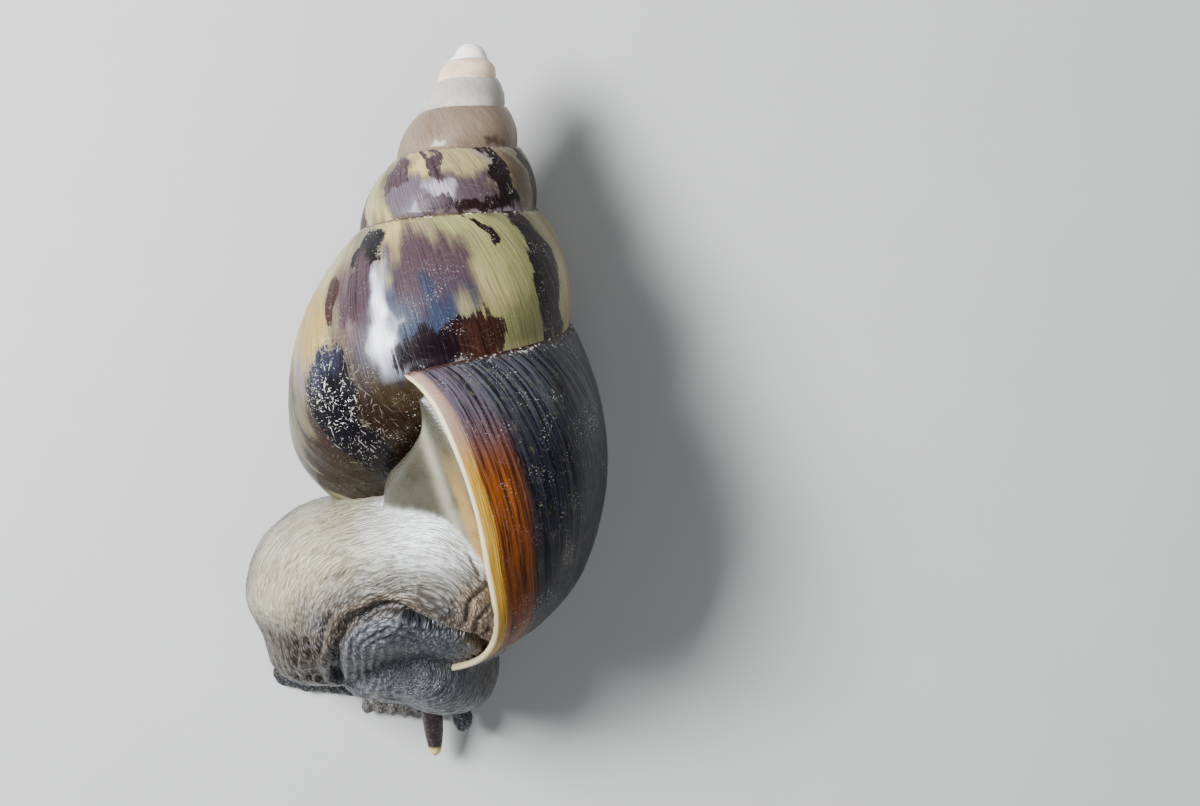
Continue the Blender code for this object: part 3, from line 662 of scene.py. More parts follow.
    points = np.concatenate(points)
    quads = np.concatenate(corners)
    heart, radius = APEX_DOME
    top, below = stand(0.0, np.array([0.0, 1.0]), 0.0, AXIS_HEIGHT)
    middle = top + (below - top) * heart
    depth = (points - top) @ (below - top)
    dome_share = smoothstep(heart + 0.75, heart - 0.85, depth)[:, None]
    away = points - middle
    points = points + (unit(away) * radius - away) * dome_share
    uv = np.concatenate(uvs)
    faces, loop_uv = [], []
    for quad, values in zip(quads.tolist(), uv.tolist()):
        face = list(dict.fromkeys(quad))
        if len(face) > 2:
            faces.append(face)
            loop_uv += [values[quad.index(i)] for i in face]
    for face in loose:
        faces.append([int(i) for i in face])
        loop_uv += [HIDDEN_UV] * len(face)
    obj = only_used("shell_skin", points * MM, faces)
    mesh = obj.data
    layer = mesh.uv_layers.new(name="growth")
    layer.data.foreach_set("uv", np.array(loop_uv, np.float32).ravel())
    paint_shell(mesh)
    turned_out(obj)
    mesh.shade_smooth()
    return obj


# ---------------------------------------------------------------- soft body

# Millimetres, as everywhere above. Knots are points of an outline, tops are the crowns of domes,
# and a fullness is the power of the superellipse between them.
SHARES_DOWN = np.linspace(0.0, 1.0, 25)[1:]
TRUNK_TOP = (2.0, -17.0, 53.0)
HEAD_TOP = (-3.0, -33.0, 38.0)
SOLE_TOP = (-14.0, -28.0, 4.5)
TRUNK_FULLNESS = 2.0
HEAD_FULLNESS = 2.2
MANTLE_REACH = 50.0
MANTLE_ROOM = 0.42
BEND = (-4.0, -34.0)
VOXEL = 0.40
SHELL_GAP = -0.55
MARGIN_HEIGHT, MARGIN_INSET = 1.3, 0.4
FRILL_HEIGHT, FRILL_INSET, FRILL_KNOTS = 2.4, 0.5, 42
TRUNK_KNOTS = [
    (9.0, -14.0, 45.0, 3.5), (3.0, -7.6, 42.0, 4.0), (-2.0, -6.2, 36.0, 4.5), (-9.0, -6.6, 28.0, 5.0),
    (-17.0, -8.0, 20.0, 5.0), (-24.5, -10.4, 15.0, 5.0), (-30.5, -16.0, 12.0, 4.5),
    (-33.0, -24.5, 10.0, 4.0), (-30.8, -31.5, 6.0, 1.5), (-28.4, -38.7, 3.0, 0.5),
    (-20.0, -40.8, 3.5, 0.5), (-12.0, -38.5, 5.0, 1.0), (-3.0, -36.5, 8.0, 2.0),
    (6.0, -35.5, 14.0, 3.0), (11.5, -31.0, 28.0, 4.0), (12.5, -23.0, 42.0, 4.0)]
HEAD_KNOTS = [
    (-17.0, -33.5, 10.0, 3.0), (-12.0, -28.5, 14.0, 5.0), (-4.0, -27.0, 16.0, 5.0),
    (5.0, -31.0, 14.0, 4.0), (9.0, -36.0, 9.0, 3.0), (7.5, -43.3, 5.0, 1.5), (1.0, -45.2, 5.0, 1.0),
    (-6.0, -43.2, 5.0, 0.8), (-13.0, -42.2, 4.5, 0.8), (-17.0, -40.0, 5.0, 1.0)]
SOLE_KNOTS = [
    (-14.0, -10.0), (-22.0, -12.0), (-28.0, -20.0), (-30.3, -28.0), (-30.3, -36.5), (-30.0, -42.4),
    (-25.0, -44.0), (-14.5, -45.0), (-4.0, -45.2), (4.0, -44.3), (6.5, -37.0), (0.0, -28.0)]
TAIL_SPINE = [
    (-15.0, -14.0, 6.0, 9.0), (-13.6, -5.0, 4.6, 7.5), (-13.2, 3.0, 4.2, 5.6),
    (-12.2, 11.0, 3.2, 3.8), (-9.8, 19.0, 1.4, 1.6)]
LIMBS = [
    ("right_tentacle", [(-2.7, -40.0, 9.5), (-2.6, -43.0, 8.5), (-2.4, -46.5, 7.6), (-2.2, -50.0, 6.4),
                        (-2.1, -52.2, 5.8), (-2.06, -53.3, 5.5)], (2.2, 2.1, 1.9, 1.65, 1.35, 1.15)),
    ("left_tentacle", [(2.2, -40.0, 8.6), (2.4, -43.0, 8.0), (2.6, -45.4, 7.5), (2.72, -47.1, 7.0),
                       (2.77, -48.2, 6.7)], (1.5, 1.4, 1.4, 1.75, 1.7)),
    ("right_feeler", [(-2.1, -41.5, 4.0), (-2.2, -43.5, 3.4), (-2.3, -48.2, 2.4)], (0.9, 0.9, 0.8)),
    ("left_feeler", [(2.9, -41.0, 4.0), (3.0, -43.0, 3.4), (3.2, -47.2, 2.4)], (0.9, 0.9, 0.8))]
LAPPETS = [(-7.0, -45.4, 2.5, 2.2), (-12.3, -44.8, 2.4, 2.2), (-13.8, -45.9, 1.15, 1.6),
           (-11.7, -46.2, 1.25, 1.6), (-9.5, -46.4, 1.25, 1.7), (-7.3, -46.6, 1.25, 1.7),
           (-5.2, -46.3, 1.15, 1.5)]
LAPPET_HEIGHT = 4.6
LAPPET_FRILL = 0.13
LAPPET_LOBES = 7
EYE_RADIUS = 0.5
EYES = [("eye_right", (-2.05, -54.0, 5.4)), ("eye_left", (2.78, -49.65, 6.4))]


def curve_through(knots, count, closed=False):
    """Evenly stepped points on a Catmull-Rom curve through the knots."""
    knots = np.asarray(knots, float)
    n = len(knots)
    step = np.arange(count) * n / count if closed else np.linspace(0.0, n - 1.001, count)
    k, f = step.astype(int), (step % 1.0)[:, None]
    pick = (lambda i: knots[i % n]) if closed else (lambda i: knots[np.clip(i, 0, n - 1)])
    p0, p1, p2, p3 = (pick(k + shift) for shift in (-1, 0, 1, 2))
    return 0.5 * (2 * p1 + (p2 - p0) * f + (2 * p0 - 5 * p1 + 4 * p2 - p3) * f**2
                  + (3 * p1 - p0 - 3 * p2 + p3) * f**3)


def lofted(name, loops):
    """A closed body from equal loops of points, capped by fans at both ends."""
    loops = np.asarray(loops, float)
    rings, count = loops.shape[:2]
    index = wrapped(np.arange(rings * count).reshape(rings, count))
    first, last = rings * count, rings * count + 1
    faces = grid_faces(index).tolist()
    faces += [[first, b, a] for a, b in zip(index[0, :-1].tolist(), index[0, 1:].tolist())]
    faces += [[last, a, b] for a, b in zip(index[-1, :-1].tolist(), index[-1, 1:].tolist())]
    points = np.concatenate([loops.reshape(-1, 3), [loops[0].mean(axis=0), loops[-1].mean(axis=0)]])
    return turned_out(bare_object(name, points.tolist(), faces))


def dome(name, knots, top, fullness, count=160):
    """A rounded body on a flat sole.

    Knots are (x, y, height of the widest line, inset of the sole). The side rises from the widest
    line on a superellipse to the top, and tucks in below it on a quarter ellipse.
    """
    rim = curve_through(knots, count, True)
    top = np.asarray(top, float)
    rho = np.sin(np.linspace(0.01, 1.0, 40) * math.pi / 2.0)[:, None]
    rise = (1.0 - rho**fullness) ** (1.0 / fullness)
    upper = [top[None, :2] + (rim[:, :2] - top[:2]) * r for r in rho]
    loops = [np.column_stack([xy, rim[:, 2] + (top[2] - rim[:, 2]) * h]) for xy, h in zip(upper, rise)]
    outward = unit(rim[:, :2] - top[:2])
    for s in SHARES_DOWN:
        tuck = 1.0 - math.sqrt(max(0.0, 1.0 - s * s))
        loops.append(np.column_stack([rim[:, :2] - outward * (rim[:, 3] * tuck)[:, None],
                                      rim[:, 2] * (1.0 - s)]))
    return lofted(name, loops)


def limb(name, path, radii, sides=24, count=40):
    """A round limb: circles of changing radius along a curve, closed by a domed tip."""
    track = curve_through(np.column_stack([path, radii]), count)
    centre, radius = track[:, :3], track[:, 3]
    along = unit(np.gradient(centre, axis=0))
    swing = np.linspace(0.0, math.pi / 2.0, 8)[1:-1]
    tips = [centre[-1] + along[-1] * radius[-1] * math.sin(a) for a in swing]
    centre = np.concatenate([centre, tips])
    radius = np.concatenate([radius, [radius[-1] * math.cos(a) for a in swing]])
    along = np.concatenate([along, np.repeat(along[-1:], len(swing), axis=0)])
    side = unit(np.cross(along, (0.0, 0.0, 1.0)))
    lift = np.cross(side, along)
    angle = around(sides)
    ring = side[:, None] * np.cos(angle)[:, None] + lift[:, None] * np.sin(angle)[:, None]
    return lofted(name, centre[:, None] + ring * radius[:, None, None])


def tail():
    """The hind part of the foot: half ellipses on a flat sole that taper along a bent spine."""
    track = curve_through(TAIL_SPINE, 60)
    along = unit(np.gradient(track[:, :2], axis=0))
    across = np.column_stack([-along[:, 1], along[:, 0]])
    angle = np.linspace(0.0, math.pi, 33)
    side = track[:, 2:3] * np.cos(angle)
    place = track[:, None, :2] + across[:, None] * side[..., None]
    return lofted("tail", np.concatenate([place, (track[:, 3:4] * np.sin(angle))[..., None]], axis=-1))


def mantle_ring(g, spare, rise, reach, rows=70):
    """Section of the last whorl's hollow at growth turn g, as a closed loop of points.

    The outer row follows the whorl's inside, the inner row lies over the turn before. With rise the
    outer row sinks onto the inner one, and reach carries the section that many degrees past the lip.
    """
    first, last = 0.04 + 0.1 * spare, 0.93 - 0.05 * spare
    u = first + (last - first) * np.linspace(0.0, 1.0, rows) ** 1.3
    arch = np.sin(math.pi * u**2.9) ** 1.1
    wall = WALL * np.clip(u / 0.12, 0.25, 1.0) + spare
    v = 0.5 + 0.47 * u
    lag_in = slant(v) - LIP_SLANT
    m = g + (reach * arch - slant(u) + (slant(u) - lag_in) * rise) / 360.0
    m_in = g + (reach * arch - lag_in) / 360.0
    rows_rt = []
    for turn, share, distance in ((m, u, wall), (m - 1.0, v, -wall), (m_in - 1.0, v, -wall)):
        r, t = profile(turn, share)
        dr, dt = np.gradient(r), np.gradient(t)
        length = np.hypot(dr, dt)
        rows_rt.append((r - dt / length * distance, t + dr / length * distance))
    (r_out, t_out), (r_near, t_near), (r_in, t_in) = rows_rt
    r_out, t_out = r_out + (r_near - r_out) * rise, t_out + (t_near - t_out) * rise
    r, t = np.concatenate([r_out, r_in[::-1]]), np.concatenate([t_out, t_in[::-1]])
    return stand(np.maximum(r, 2.0 + spare), t, np.concatenate([m, m_in[::-1]]), AXIS_HEIGHT)


def mantle():
    """The mantle's collar: it fills the hollow and swells out past the lip onto the whorl behind."""
    rings = [mantle_ring(g, MANTLE_ROOM, 0.0, 0.0) for g in np.linspace(-0.11, 0.0, 16)]
    rings += [mantle_ring(0.0, MANTLE_ROOM, 0.85 * f**0.7, MANTLE_REACH * f)
              for f in np.linspace(0.0, 1.0, 30)[1:]]
    rings = np.array(rings)
    half = rings.shape[1] // 2
    count = rings.shape[1]
    index = np.arange(rings.size // 3).reshape(len(rings), count)
    faces = grid_faces(wrapped(index)).tolist()
    for row in (index[0], index[-1]):
        faces += [[row[k], row[k + 1], row[count - 2 - k], row[count - 1 - k]] for k in range(half - 1)]
    return turned_out(bare_object("mantle", rings.reshape(-1, 3).tolist(), faces))


def joined(objects, name):
    """Join helper objects into one mesh."""
    bm = bmesh.new()
    for obj in objects:
        bm.from_mesh(obj.data)
    whole = bare_object(name)
    bm.to_mesh(whole.data)
    bm.free()
    return whole


def line_distance(points, knots, count=60):
    """Distance of each point from a smooth curve through knots."""
    curve = curve_through(knots, count)
    best = np.full(len(points), 1e9)
    for a, b in zip(curve, curve[1:]):
        along = b - a
        f = np.clip(((points - a) @ along) / max(along @ along, 1e-9), 0.0, 1.0)
        best = np.minimum(best, np.linalg.norm(points - a - f[:, None] * along, axis=1))
    return best


PALE_SKIN = (0.36, 0.33, 0.225)
# Pale cream flesh, brightened and blued as a painted highlight where the flank faces up.
CREAM_AND_HIGHLIGHT_SKIN = (0.86, 0.89, 0.89)
GREY_SKIN = (0.098, 0.090, 0.085)
# Charcoal skin of the head lobe, lightened and blued as a painted sheen of its wet highlights.
COAL_AND_SHEEN_SKIN = (0.082, 0.084, 0.098)
DUSK_SKIN = (0.030, 0.030, 0.034)
TAN_SKIN = (0.34, 0.225, 0.145)
BROWN_SKIN = (0.11, 0.070, 0.032)
DEEP_BROWN = (0.026, 0.016, 0.008)
LIMB_SKIN = (0.030, 0.020, 0.019)
FRILL_SKIN = (0.13, 0.12, 0.11)
TIP_SKIN = (0.56, 0.46, 0.16)
MANTLE_SKIN = (0.052, 0.048, 0.034)
MANTLE_SHADE = (0.032, 0.029, 0.020)
TAN_RIM = (0.30, 0.185, 0.060)
PALE_RIM = (0.40, 0.37, 0.28)
# Points along the shell's lip, where the mantle shows its rims.
LIP_LINE = [(8.8, -15.7, 49.5), (7.7, -11.0, 50.5), (5.6, -4.9, 50.8), (2.3, 4.1, 50.0),
            (-1.9, 12.5, 47.6)]

# Folds of the skin: depth, half width, points on them.
FOLDS = [
    (1.9, 1.15, [(-15.5, -36.0, 33.0), (-14.9, -31.9, 41.3), (-14.1, -27.3, 45.7), (-12.6, -24.7, 47.8),
                (-9.4, -22.6, 49.7), (-5.9, -21.2, 51.4), (-3.7, -21.7, 51.7), (-1.8, -23.0, 51.1),
                (1.0, -24.4, 49.5), (5.2, -26.4, 47.3), (6.8, -27.0, 46.4), (9.5, -30.0, 41.0)]),
    (0.8, 0.8, [(-18.6, -36.5, 32.0), (-17.7, -29.9, 41.8), (-16.3, -25.6, 44.7), (-15.0, -23.1, 46.6)]),
    (0.8, 0.8, [(-20.4, -36.5, 31.0), (-19.4, -30.9, 39.3), (-19.2, -28.2, 40.8)]),
    (0.7, 0.8, [(-22.6, -36.6, 28.0), (-21.8, -31.5, 36.2), (-21.2, -28.0, 38.6)]),
    (0.7, 0.4, [(-1.2, -45.6, 3.6), (0.4, -45.9, 4.2), (2.0, -45.5, 3.6)]),
    (0.45, 0.4, [(-9.5, -7.4, 35.9), (-6.3, -7.0, 40.1), (-3.6, -6.2, 43.6), (-1.5, -5.8, 45.5),
                 (2.1, -7.8, 47.5), (4.4, -10.1, 48.1), (7.0, -14.2, 49.9), (8.2, -16.4, 50.1)]),
    (0.35, 0.6, [(-26.6, -20.4, 34.2), (-23.1, -16.8, 38.1), (-19.4, -14.4, 41.2), (-14.0, -13.5, 45.7),
                (-8.5, -14.1, 49.6)]),
    (0.35, 0.6, [(-16.8, -18.3, 45.8), (-13.1, -16.7, 48.3), (-8.4, -16.3, 50.5), (-3.8, -17.1, 52.2),
                (-1.3, -16.6, 52.7)]),
    (0.3, 0.5, [(-8.3, -17.8, 50.9), (-4.2, -18.6, 52.1), (-1.7, -18.2, 52.7)]),
    (0.6, 0.5, [(9.3, -18.0, 49.5), (7.0, -20.1, 51.6), (6.5, -21.8, 51.1), (6.2, -23.8, 49.9)]),
    (0.6, 0.5, [(9.6, -21.3, 49.5), (7.9, -23.5, 49.5), (7.4, -25.4, 48.1)]),
    (0.6, 0.5, [(9.4, -25.3, 46.9), (8.2, -26.8, 46.0), (7.9, -28.9, 43.0)])]


def sculpt(points, normal, weight):
    """Press folds into the skin and raise its ridges; returns points, grain directions and colours.

    Ridges run round the bend: noise stretched along the direction round an upright axis.
    """
    away = points[:, :2] - BEND
    radius = np.hypot(away[:, 0], away[:, 1])
    angle = -np.abs(np.arctan2(away[:, 1], away[:, 0]))
    waver = rough_noise(points / 7.0, 31, 2)
    ring = radius + 0.9 * waver
    arc = angle * 15.0
    depth = points[:, 2]
    soft = weight["mantle"] + weight["feeler"] + 0.7 * weight["tentacle"]
    bare = np.clip(1.0 - soft, 0.0, 1.0)
    limbs = weight["tentacle"] + weight["knob"] + weight["feeler"]
    main_fold = line_distance(points, FOLDS[0][2])
    folds = np.zeros(len(points))
    for deep, half, knots in FOLDS:
        distance = line_distance(points, knots)
        folds = np.maximum(folds, deep * np.exp(-(distance / half) ** 2) - 0.45 * deep
                           * np.exp(-((distance - 2.1 * half) / (1.1 * half)) ** 2))
    slope, level = ring - 0.8 * depth, ring + depth
    ridges = 0.20 * grown(32, slope / 1.1, arc / 8.0, level / 5.0)
    ridges += 0.12 * grown(33, slope / 0.65, arc / 4.0, level / 2.5)
    near_fold = smoothstep(13.0, 4.0, main_fold) * (0.4 + 0.6 * smoothstep(12.6, 11.0, radius))
    ridges += 0.22 * near_fold * np.cos(2.0 * math.pi * (main_fold / 1.45 + 0.6 * waver))
    lumps = 0.06 * lattice_noise(points / 0.9, 34)
    calm = bare * (1.0 - 0.8 * np.clip(limbs, 0.0, 1.0))
    fringe = weight["margin"] + weight["lappet"] + weight["knob"]
    height = (ridges * calm * (1.0 - 0.6 * smoothstep(-14.0, -8.0, points[:, 1]))
              + lumps * bare + 0.20 * fringe * lattice_noise(points / 0.75, 35) - folds * bare)
    moved = points + normal * height[:, None]
    patches = rough_noise(points / 5.0, 36, 3)
    lobe = smoothstep(12.6, 10.4, radius + 0.7 * patches)
    lobe = np.maximum(lobe, smoothstep(-33.0, -38.0, points[:, 1]) * smoothstep(-18.0, -15.5, points[:, 0]))
    grain = np.column_stack([(ring - depth) / 0.50, arc / 2.3, (ring + depth) / 1.25])
    fine = np.clip(limbs + weight["lappet"] + weight["margin"], 0.0, 1.0)[:, None]
    grain = grain * (1.0 - fine) + points / 0.55 * fine
    x, y, z = points.T
    layers = [
        # Pale flesh with a painted highlight on the top of the flank beside the mantle.
        (CREAM_AND_HIGHLIGHT_SKIN, smoothstep(-14.0, 0.0, x) * smoothstep(-20.0, -12.0, y)),
        (GREY_SKIN, smoothstep(24.5, 14.0, radius + 1.5 * patches)),
        (GREY_SKIN, smoothstep(34.0, 14.0, z + 4.0 * patches)),
        (TAN_SKIN, 0.8 * smoothstep(3.0, 8.0, x) * smoothstep(-15.0, -21.0, y) * smoothstep(28.0, 42.0, z)),
        (BROWN_SKIN, 0.55 * np.exp(-((main_fold - 1.5) / 1.6) ** 2) * (radius > 11.5)),
        (DEEP_BROWN, 0.97 * smoothstep(-11.5, -17.0, x) * smoothstep(-24.0, -29.5, y)
         * smoothstep(8.0, 14.0, z) * smoothstep(46.0, 40.0, z)),
        # Charcoal head lobe with a painted bluish sheen.
        (COAL_AND_SHEEN_SKIN, 0.94 * lobe * smoothstep(9.0, 5.5, x)),
        (DUSK_SKIN, weight["margin"] + weight["knob"]), (FRILL_SKIN, weight["lappet"]),
        (LIMB_SKIN, weight["tentacle"] + weight["feeler"]),
        (TIP_SKIN, weight["tentacle"] * smoothstep(-52.6, -53.3, y))]
    colour = np.broadcast_to(PALE_SKIN, points.shape)
    for shade, share in layers:
        colour = blend(colour, shade, share)
    sheet = blend(np.broadcast_to(MANTLE_SKIN, points.shape), MANTLE_SHADE,
                  smoothstep(-0.2, 0.9, patches) * 0.6 + 0.5 * smoothstep(4.0, 10.0, y))
    rim = line_distance(points, LIP_LINE)
    sheet = blend(sheet, TAN_RIM, 0.75 * smoothstep(2.2, 0.6, rim + 0.4 * patches) * smoothstep(5.0, -6.0, y))
    sheet = blend(sheet, PALE_RIM, 0.45 * np.exp(-((rim - 3.1) / 1.3) ** 2))
    colour = blend(colour, sheet, weight["mantle"])
    # Painted shade: the colour is darkened inside the pressed folds.
    colour = colour * (1.0 - 0.55 * np.clip(folds, 0.0, 1.0) * bare)[:, None]
    return moved, grain, np.column_stack([colour, bare])


def build_skin():
    """The soft body as one closed skin."""
    solid = filled_shell(SHELL_GAP)
    flesh = dome("trunk", TRUNK_KNOTS, TRUNK_TOP, TRUNK_FULLNESS)
    head = dome("head", HEAD_KNOTS, HEAD_TOP, HEAD_FULLNESS)
    sole_rim = [(*knot, MARGIN_HEIGHT, MARGIN_INSET) for knot in SOLE_KNOTS]
    margin = dome("margin", sole_rim, SOLE_TOP, HEAD_FULLNESS)
    hind = tail()
    limbs = [limb(*entry) for entry in LIMBS]
    angle = around(FRILL_KNOTS)
    frill = 1.0 + LAPPET_FRILL * np.cos(LAPPET_LOBES * angle)
    lappets = []
    for x, y, long, wide in LAPPETS:
        knots = np.column_stack([x + long * frill * np.cos(angle), y + wide * frill * np.sin(angle),
                                 0.0 * angle + FRILL_HEIGHT, 0.0 * angle + FRILL_INSET])
        lappets.append(dome("lappet", knots, (x, y, LAPPET_HEIGHT), 2.0, 3 * FRILL_KNOTS))
    soft = [flesh, head, margin, hind]
    for obj in soft:
        cut_away(obj, solid)
    collar = mantle()
    parts = [("trunk", flesh), ("head", head), ("margin", margin), ("tail", hind), ("mantle", collar)]
    parts += [("tentacle", limbs[0]), ("knob", limbs[1]), ("feeler", limbs[2]), ("feeler", limbs[3])]
    parts += [("lappet", obj) for obj in lappets]
    skin = joined([obj for _, obj in parts], "body_skin")
    remesh = skin.modifiers.new("remesh", "REMESH")
    remesh.mode = "VOXEL"
    remesh.voxel_size = VOXEL
    baked(skin)
    mesh = reworked(skin, keep_largest).data
    points = coordinates(mesh)
    edges = pulled(mesh.edges, "vertices", 2, np.int64)
    degree = np.bincount(edges.ravel(), minlength=len(points)).astype(float)
    names = ["trunk", "head", "margin", "tail", "mantle", "tentacle", "knob", "feeler", "lappet"]
    label = np.zeros((len(points), len(names)))
    sources = [coordinates(obj.data) for _, obj in parts]
    owners = np.concatenate([np.full(len(c), names.index(name)) for (name, _), c in zip(parts, sources)])
    tree = KDTree(len(owners))
    for i, place in enumerate(np.concatenate(sources)):
        tree.insert(place, i)
    tree.balance()
    owner = owners[[tree.find(place)[1] for place in points]]
    label[np.arange(len(points)), owner] = 1.0
    label = spread(label, edges, degree, 6)
    sole = points[:, 2] < 0.25
    fine = label[:, [names.index(n) for n in ("tentacle", "knob", "feeler", "lappet")]].sum(axis=1)
    points = spread(points, edges, degree, 14, 0.5 - 0.42 * np.clip(fine, 0.0, 1.0)[:, None])
    placed(mesh, points)
    weight = {name: label[:, k] for k, name in enumerate(names)}
    points, grain, tone = sculpt(points, pulled(mesh.vertex_normals, "vector", 3), weight)
    points[:, 2] = np.where(sole, 0.0, np.maximum(points[:, 2], 0.0))
    placed(mesh, points * MM)
    painted(mesh, "grain", "FLOAT_VECTOR", "POINT", "vector", grain)
    painted(mesh, "tone", "FLOAT_COLOR", "POINT", "color", tone)
    mesh.shade_smooth()
    discard(solid, *[obj for _, obj in parts])
    return skin


def keep_largest(bm):
    """Delete every loose body but the one with most points."""
    left, bodies = set(bm.verts), []
    while left:
        body, front = set(), [next(iter(left))]
        while front:
            vertex = front.pop()
            if vertex not in body:
                body.add(vertex)
                front += [edge.other_vert(vertex) for edge in vertex.link_edges]
        left -= body
        bodies.append(body)
    bodies.sort(key=len)
    for body in bodies[:-1]:
        bmesh.ops.delete(bm, geom=list(body), context="VERTS")


# ---------------------------------------------------------------- materials

class Graph:
    """Short ways to add the nodes of one material or node group."""

    def __init__(self, tree):
        self.tree = tree

    def node(self, kind, inputs=(), **settings):
        made = self.tree.nodes.new("ShaderNode" + kind)
        for key, value in settings.items():
            setattr(made, key, value)
        for key, value in dict(inputs).items():
            self.put(made.inputs[key], value)
        return made

    def put(self, socket, value):
        if isinstance(value, bpy.types.NodeSocket):
            self.tree.links.new(value, socket)
        else:
            if socket.type == "RGBA" and len(value) == 3:
                value = (*value, 1.0)
            socket.default_value = value

    def math(self, operation, *values):
        return self.node("Math", enumerate(values), operation=operation).outputs[0]

    def times(self, first, second):
        return self.math("MULTIPLY", first, second)

    def line(self, value, slope, start):
        """A straight line: the value times the slope, from the start."""
        return self.math("MULTIPLY_ADD", value, slope, start)

    def sway(self, value, noise, amount):
        """A value moved up and down by a noise."""
        return self.line(self.math("SUBTRACT", noise, 0.5), amount, value)

    def step(self, value, low, high):
        """0 below low and 1 above high with an ease between, or the reverse if low is the larger."""
        ends = (low, high, 0.0, 1.0) if low < high else (high, low, 1.0, 0.0)
        return self.node("MapRange", enumerate((value, *ends)), interpolation_type="SMOOTHSTEP").outputs[0]

    def mix(self, share, first, second, blend="MIX"):
        made = self.node("Mix", data_type="RGBA", blend_type=blend)
        for key, value in ((0, share), (6, first), (7, second)):
            self.put(made.inputs[key], value)
        return made.outputs[2]

    def tint(self, colour, by):
        return self.mix(1.0, colour, by, "MULTIPLY")

    def place(self):
        """The object's own coordinates, in metres."""
        return self.node("TexCoord").outputs["Object"]

    def layer(self, name):
        """A painted layer's colour and its extra value."""
        made = self.node("Attribute", attribute_name=name)
        return made.outputs["Color"], made.outputs["Alpha"]

    def noise(self, vector, scale=1.0, detail=2.0, roughness=0.5):
        return self.node("TexNoise", {"Vector": vector, "Scale": scale, "Detail": detail,
                                      "Roughness": roughness}).outputs[0]

    def scaled(self, vector, scale):
        return self.node("VectorMath", enumerate((vector, scale)), operation="MULTIPLY").outputs[0]

    def stretched(self, vector, x, y, detail, roughness=0.5):
        """A noise drawn out by unequal scales."""
        return self.noise(self.scaled(vector, (x, y, 1.0)), 1.0, detail, roughness)

    def bump(self, height, distance, strength):
        return self.node("Bump", {"Height": height, "Distance": distance, "Strength": strength}).outputs[0]


def new_group(name, takes, gives):
    """A node group with named inputs and outputs; returns it, its graph and its two end nodes."""
    group = bpy.data.node_groups.new(name, "ShaderNodeTree")
    for side, sockets in (("INPUT", takes), ("OUTPUT", gives)):
        for label, kind in sockets:
            group.interface.new_socket(label, in_out=side, socket_type="NodeSocket" + kind)
    graph = Graph(group)
    return group, graph, group.nodes.new("NodeGroupInput"), group.nodes.new("NodeGroupOutput")


def new_material(name, **settings):
    """A Principled material; returns it, its graph and its surface node."""
    material = bpy.data.materials.new(name)
    material.use_nodes = True
    surface = material.node_tree.nodes["Principled BSDF"]
    for key, value in settings.items():
        surface.inputs[key.replace("_", " ")].default_value = value
    return material, Graph(material.node_tree), surface


def dust_group():
    """Fine pale dust and grit: a mask from object coordinates."""
    group, graph, takes, gives = new_group("dust", [("Vector", "Vector")], [("Mask", "Float")])
    specks = graph.noise(takes.outputs[0], 3600.0, 1.0)
    clumps = graph.noise(takes.outputs[0], 260.0, 3.0)
    mask = graph.times(graph.step(specks, 0.64, 0.70), graph.step(clumps, 0.50, 0.66))
    graph.put(gives.inputs[0], mask)
    return group


DUST = (0.60, 0.56, 0.50)
# What fine streaks of growth do to the ground, and to the flames.
GROUND_SHADE, GROUND_LIGHT, ETCHING = (0.62, 0.55, 0.50), (1.38, 1.36, 1.32), (0.050, 0.022, 0.028)
FLAME_SHADE, FLAME_LIGHT, FLAME_GLEAM = (0.35, 0.30, 0.32), (0.22, 0.15, 0.13), (0.20, 0.15, 0.08)
# The last stretch before the lip is nearly black, with lighter streaks, a lighter top and flecks.
NIGHT, NIGHT_STREAK, NIGHT_LINE = (0.002, 0.002, 0.004), (0.022, 0.025, 0.040), (0.045, 0.038, 0.034)
NIGHT_TOP, NIGHT_FLECK = (0.062, 0.062, 0.074), (0.090, 0.072, 0.026)
# Bands along the lip, dark and light shade of each; then the colours beside the suture.
AMBER = (0.020, 0.005, 0.003), (0.20, 0.050, 0.006)
GOLD = (0.22, 0.100, 0.008), (0.44, 0.26, 0.035)
LIP_RIM = (0.50, 0.38, 0.17), (0.60, 0.52, 0.34)
TOP_LILAC, TOP_PINK, SEAM = (0.080, 0.056, 0.078), (0.24, 0.15, 0.115), (0.026, 0.010, 0.006)
# Scratches: how each set is turned, and their thickness and length.
SCRATCH_TURNS = (0.35, 0.9, 1.5, 2.1, 2.9)
SCRATCH_SIZE = (0.00016, 0.0034, 0.0007)


